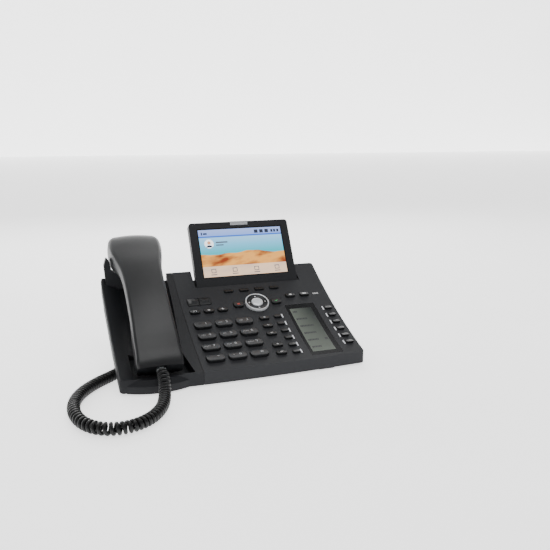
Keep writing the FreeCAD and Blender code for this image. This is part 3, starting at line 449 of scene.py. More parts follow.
@dataclass(frozen=True)
class Wallpaper:
    """The colour display's picture: a bar, a sky that turns turquoise, dunes and a pale bar.

    The picture is drawn over the glass from the place on the panel: across is metres from the
    middle and up is metres from the hinge axis. Outside the lit area the glass is black.
    """

    name: str
    width: float
    height: float
    middle_up: float
    pivot: Point3
    tilt: float
    glow: float = 1.7

    def make(self) -> bpy.types.Material:
        """Build the material."""
        mat, tree, shader = new_material(self.name)
        coord = add_node(tree, "ShaderNodeTexCoord")
        local = add_node(tree, "ShaderNodeMapping",
                         {"vector_type": "TEXTURE", "in:Location": self.pivot,
                          "in:Rotation": (self.tilt, 0.0, 0.0)},
                         {"Vector": coord.outputs["Object"]})
        axes = add_node(tree, "ShaderNodeSeparateXYZ", links={0: local.outputs[0]})
        u = share_of_way(tree, axes.outputs[0], -0.5 * self.width, 0.5 * self.width)
        top = self.middle_up + 0.5 * self.height
        v = share_of_way(tree, axes.outputs[2], top, top - self.height)
        picture = self._picture(tree, u, v)
        lit = inside_unit(tree, u, v)
        shown = add_node(tree, "ShaderNodeMix", {"data_type": "RGBA", "in:6": srgb("#050506")},
                         {0: lit, 7: picture})
        tree.links.new(shown.outputs[2], shader.inputs["Emission Color"])
        shader.inputs["Emission Strength"].default_value = self.glow
        shader.inputs["Base Color"].default_value = srgb("#0a0b0c")
        smear = noise_over(tree, 18.0, 3.0)
        rough = add_node(tree, "ShaderNodeMapRange", {"in:3": 0.10, "in:4": 0.2}, {0: smear})
        tree.links.new(rough.outputs[0], shader.inputs["Roughness"])
        return mat

    def _picture(self, tree: bpy.types.NodeTree, u, v) -> bpy.types.NodeSocket:
        """Colour of the picture at u across and v down."""
        sky = add_node(tree, "ShaderNodeValToRGB", links={0: v})
        stops = [(0.0, "#9db4ee"), (0.135, "#86a6f0"), (0.140, "#2c5fc8"), (0.165, "#3a6ed0"),
                 (0.170, "#9ad0f6"), (0.33, "#6fc4ea"), (0.50, "#3fb6c4")]
        ramp = sky.color_ramp
        while len(ramp.elements) < len(stops):
            ramp.elements.new(0.5)
        for element, (at, code) in zip(ramp.elements, stops):
            element.position = at
            element.color = srgb(code)
        wave = add_node(tree, "ShaderNodeCombineXYZ", links={0: u})
        hills = add_node(tree, "ShaderNodeTexNoise", {"in:Scale": 2.6, "in:Detail": 1.5},
                         {"Vector": wave.outputs[0]})
        lift = maths(tree, "MULTIPLY", hills.outputs[0], 0.26)
        crest = maths(tree, "SUBTRACT", 0.65, lift)
        sand_mask = maths(tree, "GREATER_THAN", v, crest)
        ripples = add_node(tree, "ShaderNodeTexNoise", {"in:Scale": 5.0, "in:Detail": 3.0},
                           {"Vector": self._stretched(tree, u, v)})
        sand = add_node(tree, "ShaderNodeValToRGB", links={0: ripples.outputs[0]})
        grains = ((0.38, "#8a3612"), (0.56, "#f0a850"))
        for element, (at, code) in zip(sand.color_ramp.elements, grains):
            element.position = at
            element.color = srgb(code)
        land = add_node(tree, "ShaderNodeMix", {"data_type": "RGBA"},
                        {0: sand_mask, 6: sky.outputs[0], 7: sand.outputs[0]})
        bar_mask = maths(tree, "GREATER_THAN", v, 0.78)
        strength = maths(tree, "MULTIPLY", bar_mask, 0.72)
        bar = add_node(tree, "ShaderNodeMix", {"data_type": "RGBA", "in:7": srgb("#f4dcc4")},
                       {0: strength, 6: land.outputs[2]})
        return bar.outputs[2]

    @staticmethod
    def _stretched(tree: bpy.types.NodeTree, u, v) -> bpy.types.NodeSocket:
        """A vector of u and v that draws long slanting streaks."""
        slow = add_node(tree, "ShaderNodeMath", {"operation": "MULTIPLY_ADD", "in:1": 0.35},
                        {0: u, 2: v})
        fast = add_node(tree, "ShaderNodeMath", {"operation": "MULTIPLY", "in:1": 0.6}, {0: u})
        streak = add_node(tree, "ShaderNodeCombineXYZ",
                          links={0: fast.outputs[0], 1: slow.outputs[0]})
        return streak.outputs[0]


@dataclass(frozen=True)
class MonoPanel:
    """Grey-green display behind a dark bordered window, from its place on the deck, with painted
    shade that darkens it towards the back right corner.
    """

    name: str
    x0: float
    x1: float
    y0: float
    y1: float

    def make(self) -> bpy.types.Material:
        """Build the material."""
        mat, tree, shader = new_material(self.name)
        coord = add_node(tree, "ShaderNodeTexCoord")
        axes = add_node(tree, "ShaderNodeSeparateXYZ", links={0: coord.outputs["Object"]})
        u = share_of_way(tree, axes.outputs[0], self.x0, self.x1)
        v = share_of_way(tree, axes.outputs[1], self.y0, self.y1)
        inside = inside_unit(tree, u, v)
        haze = noise_over(tree, 30.0, 2.0)
        # Painted shade: the grey goes from light to dark towards the back right corner, with random
        # haze on top.
        painted_corner_shade = maths(tree, "MULTIPLY", v, u)
        shade = add_node(tree, "ShaderNodeMath", {"operation": "MULTIPLY_ADD", "in:1": 0.25},
                         {0: haze, 2: painted_corner_shade})
        grey = add_node(tree, "ShaderNodeMix", {"data_type": "RGBA", "in:6": srgb("#6f766d"),
                                                "in:7": srgb("#303533")}, {0: shade.outputs[0]})
        whole = add_node(tree, "ShaderNodeMix", {"data_type": "RGBA", "in:6": srgb("#101113")},
                         {0: inside, 7: grey.outputs[2]})
        tree.links.new(whole.outputs[2], shader.inputs["Base Color"])
        shader.inputs["Specular IOR Level"].default_value = 0.2
        rough = add_node(tree, "ShaderNodeMapRange", {"in:3": 0.16, "in:4": 0.28}, {0: haze})
        tree.links.new(rough.outputs[0], shader.inputs["Roughness"])
        return mat


class Finishes:
    """Every material of the phone, made once."""

    def __init__(self) -> None:
        """Build the shared materials."""
        self.cover = Moulded("charcoal_cover", "#26272a", roughness=0.52, specular=0.22).make()
        # The cradle is the keypad cover's plastic made a darker charcoal: painted shade for its
        # deep trough.
        self.cradle = Moulded("charcoal_cradle_painted_shade", "#1e1f22", roughness=0.54, specular=0.2).make()
        self.housing = Moulded("charcoal_housing", "#18191b", roughness=0.55, specular=0.2).make()
        self.handset = Moulded("handset_shell", "#17181a", roughness=0.36, grain_height=0.012,
                               specular=0.38).make()
        self.bezel = Moulded("display_bezel", "#1d1e21", roughness=0.46, specular=0.3).make()
        self.key = Moulded("key_cap", "#1d1e20", roughness=0.34, grain_height=0.012, mottle_mm=8.0,
                           specular=0.22).make()
        self.small_key = Moulded("small_key_cap", "#161719", roughness=0.36, grain_height=0.012,
                                 mottle_mm=6.0, specular=0.22).make()
        self.silver = Moulded("silver_paint", "#dfe1e4", roughness=0.3, metallic=0.35,
                              grain_mm=0.12, grain_height=0.008).make()
        self.dark_ring = Moulded("dark_ring", "#121315", roughness=0.35, grain_height=0.006,
                                 specular=0.3).make()
        self.black = Moulded("black_moulding", "#141517", roughness=0.5).make()
        self.rubber = Moulded("rubber", "#1a1a1b", roughness=0.75, grain_height=0.06).make()
        self.silicone = Moulded("silicone", "#4b4d50", roughness=0.6).make()
        self.board = Moulded("solder_mask", "#1d5236", roughness=0.35, mottle_mm=3.0,
                             mottle=0.25).make()
        self.steel = Moulded("zinc_steel", "#b5b7ba", roughness=0.35, metallic=1.0,
                             mottle_mm=2.0).make()
        self.cord = Moulded("cord_jacket", "#0e0f10", roughness=0.3, grain_mm=0.5,
                            grain_height=0.02, specular=0.3).make()
        self.light_lens = Lens("message_lens", "#a9abae", glow=0.06).make()
        self.guide_lens = Lens("line_light", "#e4e6ea", glow=0.3).make()
        self.clear = ClearPlastic("clear_plug", "#cfd4d6").make()
        # The printed inks get a faint glow, though print is no lamp: painted brightness.
        self.print_white = Ink("print_white", "#f2f2f2", glow=0.05).make()
        self.print_grey = Ink("print_grey", "#bcbec0", glow=0.03).make()
        self.print_green = Ink("print_green", "#2fc070", glow=0.08).make()
        self.print_red = Ink("print_red", "#e0483f", glow=0.08).make()
        self.lcd_ink = Ink("lcd_ink", "#14181a").make()


# ---------------------------------------------------------------- pieces


def take_part(node: str, material: bpy.types.Material, body: str,
              bevel: float = 0.0) -> bpy.types.Object:
    """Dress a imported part: as it is, or as a copy with softened edges that stands for it.

    Args:
        node: the part's name.
        material: its finish.
        body: the rigid body it rides on.
        bevel: width of the softened edges in millimetres, or 0 for the part as it is.

    Returns:
        The object that shows.
    """
    source = bpy.data.objects[node]
    if bevel <= 0:
        source.data.materials.clear()
        source.data.materials.append(material)
        return source
    mesh = source.data.copy()
    mesh.name = node + "_finished"
    mesh.materials.clear()
    mesh.materials.append(material)
    obj = bpy.data.objects.new(node + "_finished", mesh)
    bpy.context.scene.collection.objects.link(obj)
    weld = obj.modifiers.new("weld", "WELD")
    weld.merge_threshold = 0.002 * MM
    edge = obj.modifiers.new("edges", "BEVEL")
    edge.width = bevel * MM
    edge.segments = 2
    edge.limit_method = "ANGLE"
    edge.angle_limit = math.radians(35)
    edge.use_clamp_overlap = True
    edge.harden_normals = False
    for poly in mesh.polygons:
        poly.use_smooth = True
    normals = obj.modifiers.new("normals", "WEIGHTED_NORMAL")
    normals.keep_sharp = False
    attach(obj, body)
    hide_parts(node)
    return obj


@dataclass
class KeyCap:
    """One key cap: an upright wall, a rounded edge and a top that falls away to the back.

    Sizes are in millimetres, about the middle of the cap's front edge.
    """

    node: str
    x: float
    y: float
    width: float
    depth: float
    corner: float
    rise_front: float
    rise_back: float
    sink: float = 4.1
    edge: float = 0.55
    dome: float = 0.12
    top: KeyTop = KeyTop.SLOPED

    def rise(self, x: float, y: float) -> float:
        """Height of the top over the deck.

        Args:
            x: place across from the middle.
            y: place from the front edge.

        Returns:
            Height in millimetres.
        """
        t = min(max(y / self.depth, 0.0), 1.0)
        dome = self.dome * (1 - (2 * x / self.width) ** 2)
        if self.top is KeyTop.RIDGED:
            crest = 0.55
            share = t / crest if t < crest else (1 - t) / (1 - crest)
            return self.rise_back + (self.rise_front - self.rise_back) * share ** 1.2 + dome
        fall = t ** 1.35
        return self.rise_front + (self.rise_back - self.rise_front) * fall + dome

    def loops(self) -> list[list[Vector]]:
        """Rings of points from the foot to the middle of the top."""
        rings = []

        def ring(inset: float, drop: float, z: Optional[float] = None) -> list[Vector]:
            """Outline drawn in by inset, drop below the top or flat at z."""
            pts = rounded_outline(self.width - 2 * inset, self.depth - 2 * inset,
                                  self.corner - inset)
            out = []
            for px, py in pts:
                y = py + 0.5 * self.depth
                out.append(Vector((px, y, self.rise(px, y) - drop if z is None else z)))
            return out

        rings.append(ring(0.0, 0.0, -self.sink))
        rings.append(ring(0.0, self.edge))
        for k in range(1, 5):
            a = math.radians(90 * k / 4)
            rings.append(ring(self.edge * (1 - math.cos(a)), self.edge * (1 - math.sin(a))))
        reach = 0.5 * min(self.width, self.depth)
        for k in range(1, 5):
            rings.append(ring(self.edge + (reach - self.edge) * (k / 4.25), 0.0))
        return rings

    def build(self, deck: Deck, finish: bpy.types.Material) -> bpy.types.Object:
        """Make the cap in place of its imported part.

        Args:
            deck: where it stands.
            finish: its material.

        Returns:
            The cap.
        """
        at = deck.matrix(self.x, self.y)
        rings = [[at @ (p * MM) for p in loop] for loop in self.loops()]
        verts, faces = skin_loops(rings)
        obj = new_object(self.node + "_cap", verts, faces, [finish])
        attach(obj, self.node)
        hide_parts(self.node)
        return obj


@dataclass
class Mark:
    """A thin printed mark: a flat outline laid on a surface.

    outlines are in millimetres, in the surface's plane.
    """

    name: str
    outlines: list[list[Point2]]

    def build(self, place: Callable[[float, float], Vector], finish: bpy.types.Material,
              body: str) -> bpy.types.Object:
        """Lay the mark on a surface.

        Args:
            place: turns a point of the mark into a place in metres.
            finish: its material.
            body: the rigid body it rides on.

        Returns:
            The mark.
        """
        verts: list[Vector] = []
        faces = []
        for outline in self.outlines:
            start = len(verts)
            verts.extend(place(x, y) for x, y in outline)
            faces.append(tuple(range(start, start + len(outline))))
        obj = new_object(self.name, verts, faces, [finish], smooth=False)
        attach(obj, body)
        return obj


def bar(x0: float, x1: float, y0: float, y1: float) -> list[Point2]:
    """Outline of a rectangle."""
    return [(x0, y0), (x1, y0), (x1, y1), (x0, y1)]


def disc(x: float, y: float, r: float, n: int = 16) -> list[Point2]:
    """Outline of a disc."""
    return [(x + r * math.cos(2 * math.pi * i / n), y + r * math.sin(2 * math.pi * i / n))
            for i in range(n)]


def lettering(text: str, size: float) -> list[list[Point2]]:
    """Flat outlines of a word in the built-in face, as triangles.

    Args:
        text: the word.
        size: its height in millimetres.

    Returns:
        Triangles about the word's middle, in millimetres.
    """
    curve = bpy.data.curves.new("lettering", "FONT")
    curve.body = text
    curve.size = size
    curve.align_x = "CENTER"
    curve.align_y = "CENTER"
    holder = bpy.data.objects.new("lettering", curve)
    bpy.context.scene.collection.objects.link(holder)
    bpy.context.view_layer.update()
    settled = holder.evaluated_get(bpy.context.evaluated_depsgraph_get())
    mesh = bpy.data.meshes.new_from_object(settled)
    shapes = [[(mesh.vertices[i].co.x, mesh.vertices[i].co.y) for i in p.vertices]
              for p in mesh.polygons]
    bpy.data.objects.remove(holder)
    bpy.data.curves.remove(curve)
    bpy.data.meshes.remove(mesh)
    return shapes


# ---------------------------------------------------------------- studio


@dataclass
class Studio:
    """Camera, pale floor and soft light."""

    deck: Deck
    eye: Point3 = (-174.3, -540.9, 226.2)
    right: Point3 = (0.93919, -0.34341, 0.00125)
    up: Point3 = (0.07332, 0.20408, 0.97621)
    lens: float = 42.59

    def build(self) -> None:
        """Make the camera, the floor and the lights."""
        self._camera()
        self._floor()
        self._world()
        self._backdrop()
        self._softbox("behind", (60.0, 860.0, 640.0), (1500.0, 620.0), 9.0)
        self._softbox("overhead", (40.0, -60.0, 1000.0), (900.0, 420.0), 4.0)
        self._softbox("side_fill", (-900.0, -260.0, 420.0), (500.0, 500.0), 1.2)

    def _camera(self) -> None:
        """The view from the user's left."""
        data = bpy.data.cameras.new("camera")
        data.lens = self.lens
        data.sensor_width = 36.0
        data.clip_start = 0.02
        data.clip_end = 20.0
        camera = bpy.data.objects.new("camera", data)
        right, up = Vector(self.right).normalized(), Vector(self.up).normalized()
        back = right.cross(up)
        turn = Matrix((right, up, back)).transposed().to_4x4()
        camera.matrix_world = Matrix.Translation(self.deck.place(*self.eye)) @ turn
        bpy.context.scene.collection.objects.link(camera)
        bpy.context.scene.camera = camera

    def _floor(self) -> None:
        """A pale table top, level with the feet."""
        mat, tree, shader = new_material("pale_table")
        noise = noise_over(tree, 120.0, 2.0)
        tint = blend_colours(tree, srgb("#f4f4f4"), srgb("#fafafa"), noise)
        tree.links.new(tint, shader.inputs["Base Color"])
        tree.links.new(tint, shader.inputs["Emission Color"])
        shader.inputs["Emission Strength"].default_value = 1.6
        shader.inputs["Roughness"].default_value = 0.9
        shader.inputs["Specular IOR Level"].default_value = 0.1
        half = 6.0
        corners = [(-half, -half, 0), (half, -half, 0), (half, half, 0), (-half, half, 0)]
        floor = new_object("floor", corners, [(0, 1, 2, 3)], [mat], smooth=False)

    @staticmethod
    def _backdrop() -> None:
        """White paper sheet far behind the phone."""
        mat, tree, shader = new_material("white_backdrop")
        noise = noise_over(tree, 400.0, 2.0)
        tint = blend_colours(tree, srgb("#f6f6f6"), srgb("#fcfcfc"), noise)
        tree.links.new(tint, shader.inputs["Base Color"])
        tree.links.new(tint, shader.inputs["Emission Color"])
        shader.inputs["Emission Strength"].default_value = 2.4
        wide, back, low, high = 8.0, 5.6, -0.01, 3.0
        corners = [(-wide, back, low), (wide, back, low), (wide, back, high), (-wide, back, high)]
        sheet = new_object("backdrop", corners, [(0, 1, 2, 3)], [mat], smooth=False)

    @staticmethod
    def _world() -> None:
        """Even white surroundings."""
        world = bpy.data.worlds.new("studio")
        world.use_nodes = True
        back = world.node_tree.nodes["Background"]
        back.inputs[0].default_value = (1.0, 1.0, 1.0, 1.0)
        back.inputs[1].default_value = 0.45
        bpy.context.scene.world = world

    def _softbox(self, name: str, at: Point3, size: Point2, watts: float) -> None:
        """One soft area light aimed at the phone."""
        data = bpy.data.lights.new(name, "AREA")
        data.shape = "RECTANGLE"
        data.size = size[0] * MM
        data.size_y = size[1] * MM
        data.energy = watts
        lamp = bpy.data.objects.new(name, data)
        place = self.deck.place(*at)
        aim = self.deck.place(0, 60, 40) - place
        turn = aim.to_track_quat("-Z", "Y").to_matrix().to_4x4()
        lamp.matrix_world = Matrix.Translation(place) @ turn
        bpy.context.scene.collection.objects.link(lamp)


# ---------------------------------------------------------------- cord


@dataclass
class HandsetCord:
    """Curly cord between the handset and the body.

    The route is the part's own, in millimetres from the deck's front edge.
    """

    deck: Deck
    finishes: Finishes
    diameter: float = 11.0
    strand: float = 3.3
    pitch: float = 3.55
    length: float = 262.5
    turns_steps: int = 14
    sides: int = 10
    desk_z: float = 5.8
    route: list[Point3] = field(default_factory=list)

    def __post_init__(self) -> None:
        """Lay out the route's points."""
        x, y, z = -82.0, 0.0, 19.5
        air = [(x, y, z), (x, y - 6.0, z), (x - 0.5, y - 13.5, z - 4.2), (-83.4, -19.8, 9.2)]
        desk = [(-85.4, -29.0), (-90.4, -45.0), (-99.3, -59.6), (-111.8, -69.8), (-126.6, -73.4),
                (-141.2, -69.2), (-152.2, -57.0), (-158.0, -40.0), (-159.2, -21.0), (-155.4, -2.5),
                (-146.8, 14.0), (-134.5, 28.5), (-120.5, 40.5)]
        end = [(-109.5, 48.0, self.desk_z + 2.0), (-100.5, 48.0, self.desk_z + 2.0)]
        self.route = air + [(px, py, self.desk_z) for px, py in desk] + end

    def centreline(self) -> list[Vector]:
        """Points along the smooth line through the route, in metres."""
        curve = bpy.data.curves.new("cord_line", "CURVE")
        curve.dimensions = "3D"
        curve.resolution_u = 24
        spline = curve.splines.new("NURBS")
        spline.points.add(len(self.route) - 1)
        for point, place in zip(spline.points, self.route):
            point.co = (*self.deck.place(*place), 1.0)
        spline.order_u = 3
        spline.use_endpoint_u = True
        holder = bpy.data.objects.new("cord_line", curve)
        bpy.context.scene.collection.objects.link(holder)
        bpy.context.view_layer.update()
        mesh = bpy.data.meshes.new_from_object(holder)
        line = [v.co.copy() for v in mesh.vertices]
        bpy.data.objects.remove(holder)
        bpy.data.curves.remove(curve)
        bpy.data.meshes.remove(mesh)
        return line

    @staticmethod
    def _frames(line: Sequence[Vector], step: float) -> list[tuple[Vector, Vector, Vector]]:
        """Even places along a line, each with two directions across it that don't twist.

        Args:
            line: points along the line.
            step: distance between places.

        Returns:
            Place, first and second direction across.
        """
        reach = [0.0]
        for a, b in zip(line, line[1:]):
            reach.append(reach[-1] + (b - a).length)
        total = reach[-1]
        count = max(int(round(total / step)), 2)
        places = []
        j = 0
        for i in range(count + 1):
            s = total * i / count
            while j < len(line) - 2 and reach[j + 1] < s:
                j += 1
            t = (s - reach[j]) / max(reach[j + 1] - reach[j], 1e-12)
            places.append(line[j].lerp(line[j + 1], min(max(t, 0.0), 1.0)))
        across = Vector((0, 0, 1))
        frames = []
        for i, p in enumerate(places):
            along = (places[min(i + 1, count)] - places[max(i - 1, 0)]).normalized()
            across = (across - along * across.dot(along)).normalized()
            frames.append((p, across.copy(), along.cross(across)))
        return frames

    def build(self) -> bpy.types.Object:
        """Wind the strand round the route, with a straight lead at each end."""
        line = self.centreline()
        step = self.pitch * MM / self.turns_steps
        frames = self._frames(line, step)
        total = (len(frames) - 1) * step
        wind = 0.5 * (self.diameter - self.strand) * MM
        centre = []
        angle = -0.5 * math.pi
        for i, (p, a, b) in enumerate(frames):
            s = i * step
            edge = min(s, total - s)
            grow = min(max((edge - 0.4 * MM) / (4.6 * MM), 0.0), 1.0)
            grow = grow * grow * (3 - 2 * grow)
            loose = 1 + 0.28 * math.exp(-((s - 0.47 * total) / (0.16 * total)) ** 2)
            angle += 2 * math.pi / self.turns_steps / loose
            r = wind * grow
            centre.append(p + a * (r * math.cos(angle)) + b * (r * math.sin(angle)))
        lead = 1.0 * MM
        centre.insert(0, centre[0] + (frames[0][0] - frames[1][0]).normalized() * lead)
        centre.append(centre[-1] + (frames[-1][0] - frames[-2][0]).normalized() * lead)
        obj = self._tube(centre)
        self.deck.place(-93.0, 0, 0)
        self.deck.place(-82.6, 0, 0)
        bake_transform(obj)
        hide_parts("handset_cord")
        return obj

    def _tube(self, centre: Sequence[Vector]) -> bpy.types.Object:
        """Round strand along a line of close points."""
        rings = []
        radius = 0.5 * self.strand * MM
        across = Vector((0, 0, 1))
        last = len(centre) - 1
        for i, p in enumerate(centre):
            along = (centre[min(i + 1, last)] - centre[max(i - 1, 0)]).normalized()
            across = (across - along * across.dot(along)).normalized()
            other = along.cross(across)
            ring = []
            for k in range(self.sides):
                q = 2 * math.pi * k / self.sides
                ring.append(p + (across * math.cos(q) + other * math.sin(q)) * radius)
            rings.append(ring)
        verts, faces = skin_loops(rings, cap_start=True)
        return new_object("curly_cord", verts, faces, [self.finishes.cord])


# ---------------------------------------------------------------- body


@dataclass
class PhoneBody:
    """Covers, housing, stand and the parts inside them."""

    finishes: Finishes
    edge: float = 0.35

    def build(self) -> None:
        """Dress the fixed parts."""
        f = self.finishes
        body = Body.BASE.value
        for node, finish, bevel in (
            ("keypad_cover", f.cover, self.edge), ("cradle_cover", f.cradle, self.edge),
            ("lower_housing", f.housing, 0.0), ("desk_stand", f.housing, 0.4),
            ("rubber_feet", f.rubber, 0.0), ("housing_screws", f.steel, 0.0),
            ("key_mat", f.silicone, 0.0), ("main_board", f.board, 0.0),
            ("line_display", f.black, 0.0), ("loudspeaker", f.black, 0.0),
            ("jack_sockets", f.black, 0.0), ("hinge_pins", f.black, 0.0),
            ("line_light_guides", f.guide_lens, 0.0), ("base_plug", f.clear, 0.0),
        ):
            take_part(node, finish, body, bevel)
            LOG.info("dressed %s", node)
        take_part("hook_lever", f.black, "hook_lever", 0.3)


@dataclass
class LineDisplay:
    """Mono display beside the line keys, with its window and shown lines.

    Sizes are in millimetres from the deck's front edge.
    """

    deck: Deck
    finishes: Finishes
    lit_x: Point2 = (66.9, 91.3)
    lit_y: Point2 = (9.8, 73.8)
    pitch: float = 10.5
    letters: tuple[int, ...] = (3, 7, 9, 8, 7, 6)
    flagged: tuple[int, ...] = (1, 4)

    def build(self) -> None:
        """Dress the window and draw the lines of text as bars."""
        front = self.deck.front_y
        panel = MonoPanel("mono_display_window", self.lit_x[0] * MM, self.lit_x[1] * MM,
                          (self.lit_y[0] + front) * MM, (self.lit_y[1] + front) * MM)
        take_part("line_display_window", panel.make(), Body.BASE.value)
        first_y = self.lit_y[0] + 5.6
        for row, count in enumerate(self.letters):
            y = first_y + self.pitch * (len(self.letters) - 1 - row)
            outlines = []
            x = self.lit_x[0] + 2.0
            for letter in range(count):
                wide = 1.1 + 0.4 * ((letter + row) % 2)
                outlines.append(bar(x, x + wide, y, y + 2.3))
                x += wide + 0.4
            if row in self.flagged:
                outlines.append(bar(self.lit_x[1] - 4.4, self.lit_x[1] - 1.2, y - 0.4, y + 2.6))
            Mark(f"line_text_{row}", outlines).build(self._on_window, self.finishes.lcd_ink,
                                                     Body.BASE.value)

    def _on_window(self, x: float, y: float) -> Vector:
        """Point on the window's face."""
        return self.deck.matrix(x, y, -0.05) @ Vector((0, 0, 0))


@dataclass
class Keys:
    """All the key caps, and what is printed on them."""

    deck: Deck
    finishes: Finishes

    NUMBER = (17.4, 11.2, 4.0, 2.7, 0.7)
    SMALL = (10.4, 6.2, 2.4, 2.2, 0.5)
    SOFT = (10.0, 4.4, 1.4, 1.9, 0.4)
    SIDE = (10.2, 8.4, 2.4, 2.2, 0.5)
    LINE = (7.6, 5.2, 1.5, 1.8, 0.5)
    WIDE = 12.0
    LABEL = (104.5, 92.7)

    def caps(self) -> list[KeyCap]:
        """Every single key in its place."""
        caps = []
        rows = (("key_1", "key_2", "key_3"), ("key_4", "key_5", "key_6"),
                ("key_7", "key_8", "key_9"), ("key_star", "key_0", "key_hash"))
        for r, names in enumerate(rows):
            for c, name in enumerate(names):
                caps.append(KeyCap(name, -29.1 + 21.4 * c, 57.8 - 15.6 * r, *self.NUMBER))
        for i, y in enumerate((61.8, 50.4, 39.0, 22.0, 10.6)):
            caps.append(KeyCap(f"function_key_{i + 1}", 35.5, y, *self.SMALL))
        for i in range(4):
            caps.append(KeyCap(f"soft_key_{i + 1}", 9.9 + 16.98 * i, 103.7, *self.SOFT))
        for i, name in enumerate(("headset_key", "loudspeaker_key", "mute_key")):
            caps.append(KeyCap(name, -32.4 + 14.4 * i, 78.8, *self.SMALL))
        caps.append(KeyCap("cancel_key", 14.7, 82.4, *self.SIDE))
        caps.append(KeyCap("confirm_key", 56.3, 82.4, *self.SIDE))
        caps.append(KeyCap("directory_key", 74.8, 90.0, *self.SMALL))
        caps.append(KeyCap("message_key", 91.0, 90.0, *self.SMALL))
        return caps

    def build(self) -> None:
        """Make every cap and its print."""
        for cap in self.caps():
            finish = self.finishes.key if cap.width > self.WIDE else self.finishes.small_key
            cap.build(self.deck, finish)
            LOG.info("made %s", cap.node)
        self._rocker()
        for side, x, y in (("left", 50.4, 63.0), ("right", 109.8, 68.3)):
            self._bank(f"line_keys_{side}", x, y)
        self._print_numbers()
        self._print_symbols()

    def _rocker(self) -> None:
        """The two-ended volume key."""
        half = KeyCap("volume_rocker", 0, 0, 12.0, 10.6, 1.3, 2.3, 0.35, top=KeyTop.RIDGED,
                      edge=0.35)
        places = [self.deck.matrix(-24.9 + dx, 90.2) for dx in (-6.15, 6.15)]
        self._joined("volume_rocker", "volume_rocker_cap", half, places)

    def _bank(self, node: str, x: float, y: float) -> None:
        """Six line keys that share one part."""
        cap = KeyCap(node, x, y, *self.LINE, edge=0.4)
        places = [self.deck.matrix(x, y - 10.5 * i) for i in range(6)]
        self._joined(node, node + "_caps", cap, places)

    def _joined(self, node: str, name: str, cap: KeyCap, places: Sequence[Matrix]) -> None:
        """One object of the same cap in several places.

        Args:
            node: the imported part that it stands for.
            name: the object's name.
            cap: the cap's shape.
            places: where each cap stands.
        """
        verts: list[Vector] = []
        faces: list[tuple[int, ...]] = []
        for at in places:
            more, some = skin_loops([[at @ (p * MM) for p in loop] for loop in cap.loops()])
            faces.extend(tuple(k + len(verts) for k in face) for face in some)
            verts.extend(more)
        obj = new_object(name, verts, faces, [self.finishes.small_key])
        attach(obj, node)
        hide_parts(node)

    def _top_place(self, cap: KeyCap, lift: float = 0.03) -> Callable[[float, float], Vector]:
        """A function that lays points on a cap's top."""
        at = self.deck.matrix(cap.x, cap.y)

        def place(x: float, y: float) -> Vector:
            """Point x across and y behind the middle of the top."""
            py = y + 0.5 * cap.depth
            return at @ (Vector((x, py, cap.rise(x, py) + lift)) * MM)

        return place

    def _print_numbers(self) -> None:
        """Digits, and small letters beside them."""
        words = {
            "key_1": ("1", ""), "key_2": ("2", "ABC"), "key_3": ("3", "DEF"),
            "key_4": ("4", "GHI"), "key_5": ("5", "JKL"), "key_6": ("6", "MNO"),
            "key_7": ("7", "PQRS"), "key_8": ("8", "TUV"), "key_9": ("9", "WXYZ"),
            "key_star": ("*", ""), "key_0": ("0", "+"), "key_hash": ("#", ""),
        }
        digit_size, letter_size = 5.2, 2.4
        for cap in self.caps():
            if cap.node not in words:
                continue
            digit, letters = words[cap.node]
            outlines = [[(x + 3.0, y + 0.9) for x, y in tri]
                        for tri in lettering(digit, digit_size)]
            if letters:
                outlines += [[(x - 3.4, y + 0.4) for x, y in tri]
                             for tri in lettering(letters, letter_size)]
            Mark(cap.node + "_print", outlines).build(self._top_place(cap),
                                                      self.finishes.print_grey, cap.node)

    def _print_symbols(self) -> None:
        """Simple signs on the small keys."""
        white = self.finishes.print_white
        signs = {
            "cancel_key": ([[(-1.6, -1.2), (-1.2, -1.6), (1.6, 1.2), (1.2, 1.6)],
                            [(1.2, -1.6), (1.6, -1.2), (-1.2, 1.6), (-1.6, 1.2)]],
                           self.finishes.print_red),
            "confirm_key": ([[(-1.8, 0.1), (-1.3, 0.5), (-0.4, -0.5), (-0.4, -1.3)],
                             [(-0.4, -1.3), (-0.4, -0.5), (1.5, 1.7), (2.0, 1.2)]],
                            self.finishes.print_green),
            "headset_key": ([bar(-1.6, -0.9, -1.1, 0.5), bar(0.9, 1.6, -1.1, 0.5),
                             bar(-1.4, 1.4, 0.7, 1.1)], white),
            "loudspeaker_key": ([bar(-1.5, -0.6, -0.6, 0.6),
                                 [(-0.6, -0.6), (0.5, -1.3), (0.5, 1.3), (-0.6, 0.6)],
                                 bar(1.0, 1.3, -0.8, 0.8)], white),
            "mute_key": ([bar(-0.6, 0.6, -0.6, 1.3), bar(-0.9, 0.9, -1.3, -1.0),
                          [(-1.6, 1.3), (-1.3, 1.5), (1.6, -1.1), (1.3, -1.3)]], white),
            "directory_key": ([bar(-1.3, 1.3, -1.2, 1.2)], white),
            "message_key": ([bar(-1.8, 1.8, -1.1, 1.1)], white),
        }
        for i, w in enumerate((1.6, 1.2, 1.5, 1.3, 1.6)):
            signs[f"function_key_{i + 1}"] = ([bar(-w, w, -0.2, 0.2),
                                               bar(-0.2 - 0.1 * i, 0.5, 0.5, 1.1),
                                               bar(-w * 0.6, w * 0.4, -1.1, -0.7)], white)
        label = self.deck.matrix(*self.LABEL)
        strokes = [bar(-3.0, -2.2, -1.1, 1.1), bar(-1.6, 0.6, 0.6, 1.1), bar(-1.6, 0.6, -0.3, 0.2),
                   bar(-1.6, 0.6, -1.1, -0.6), bar(1.2, 1.8, -1.1, 1.1), bar(2.4, 3.0, -1.1, 1.1)]
        Mark("deck_label", strokes).build(lambda x, y: label @ (Vector((x, y, 0.03)) * MM),
                                          white, Body.BASE.value)
        for cap in self.caps():
            if cap.node in signs:
                outlines, ink = signs[cap.node]
                Mark(cap.node + "_print", outlines).build(self._top_place(cap), ink, cap.node)


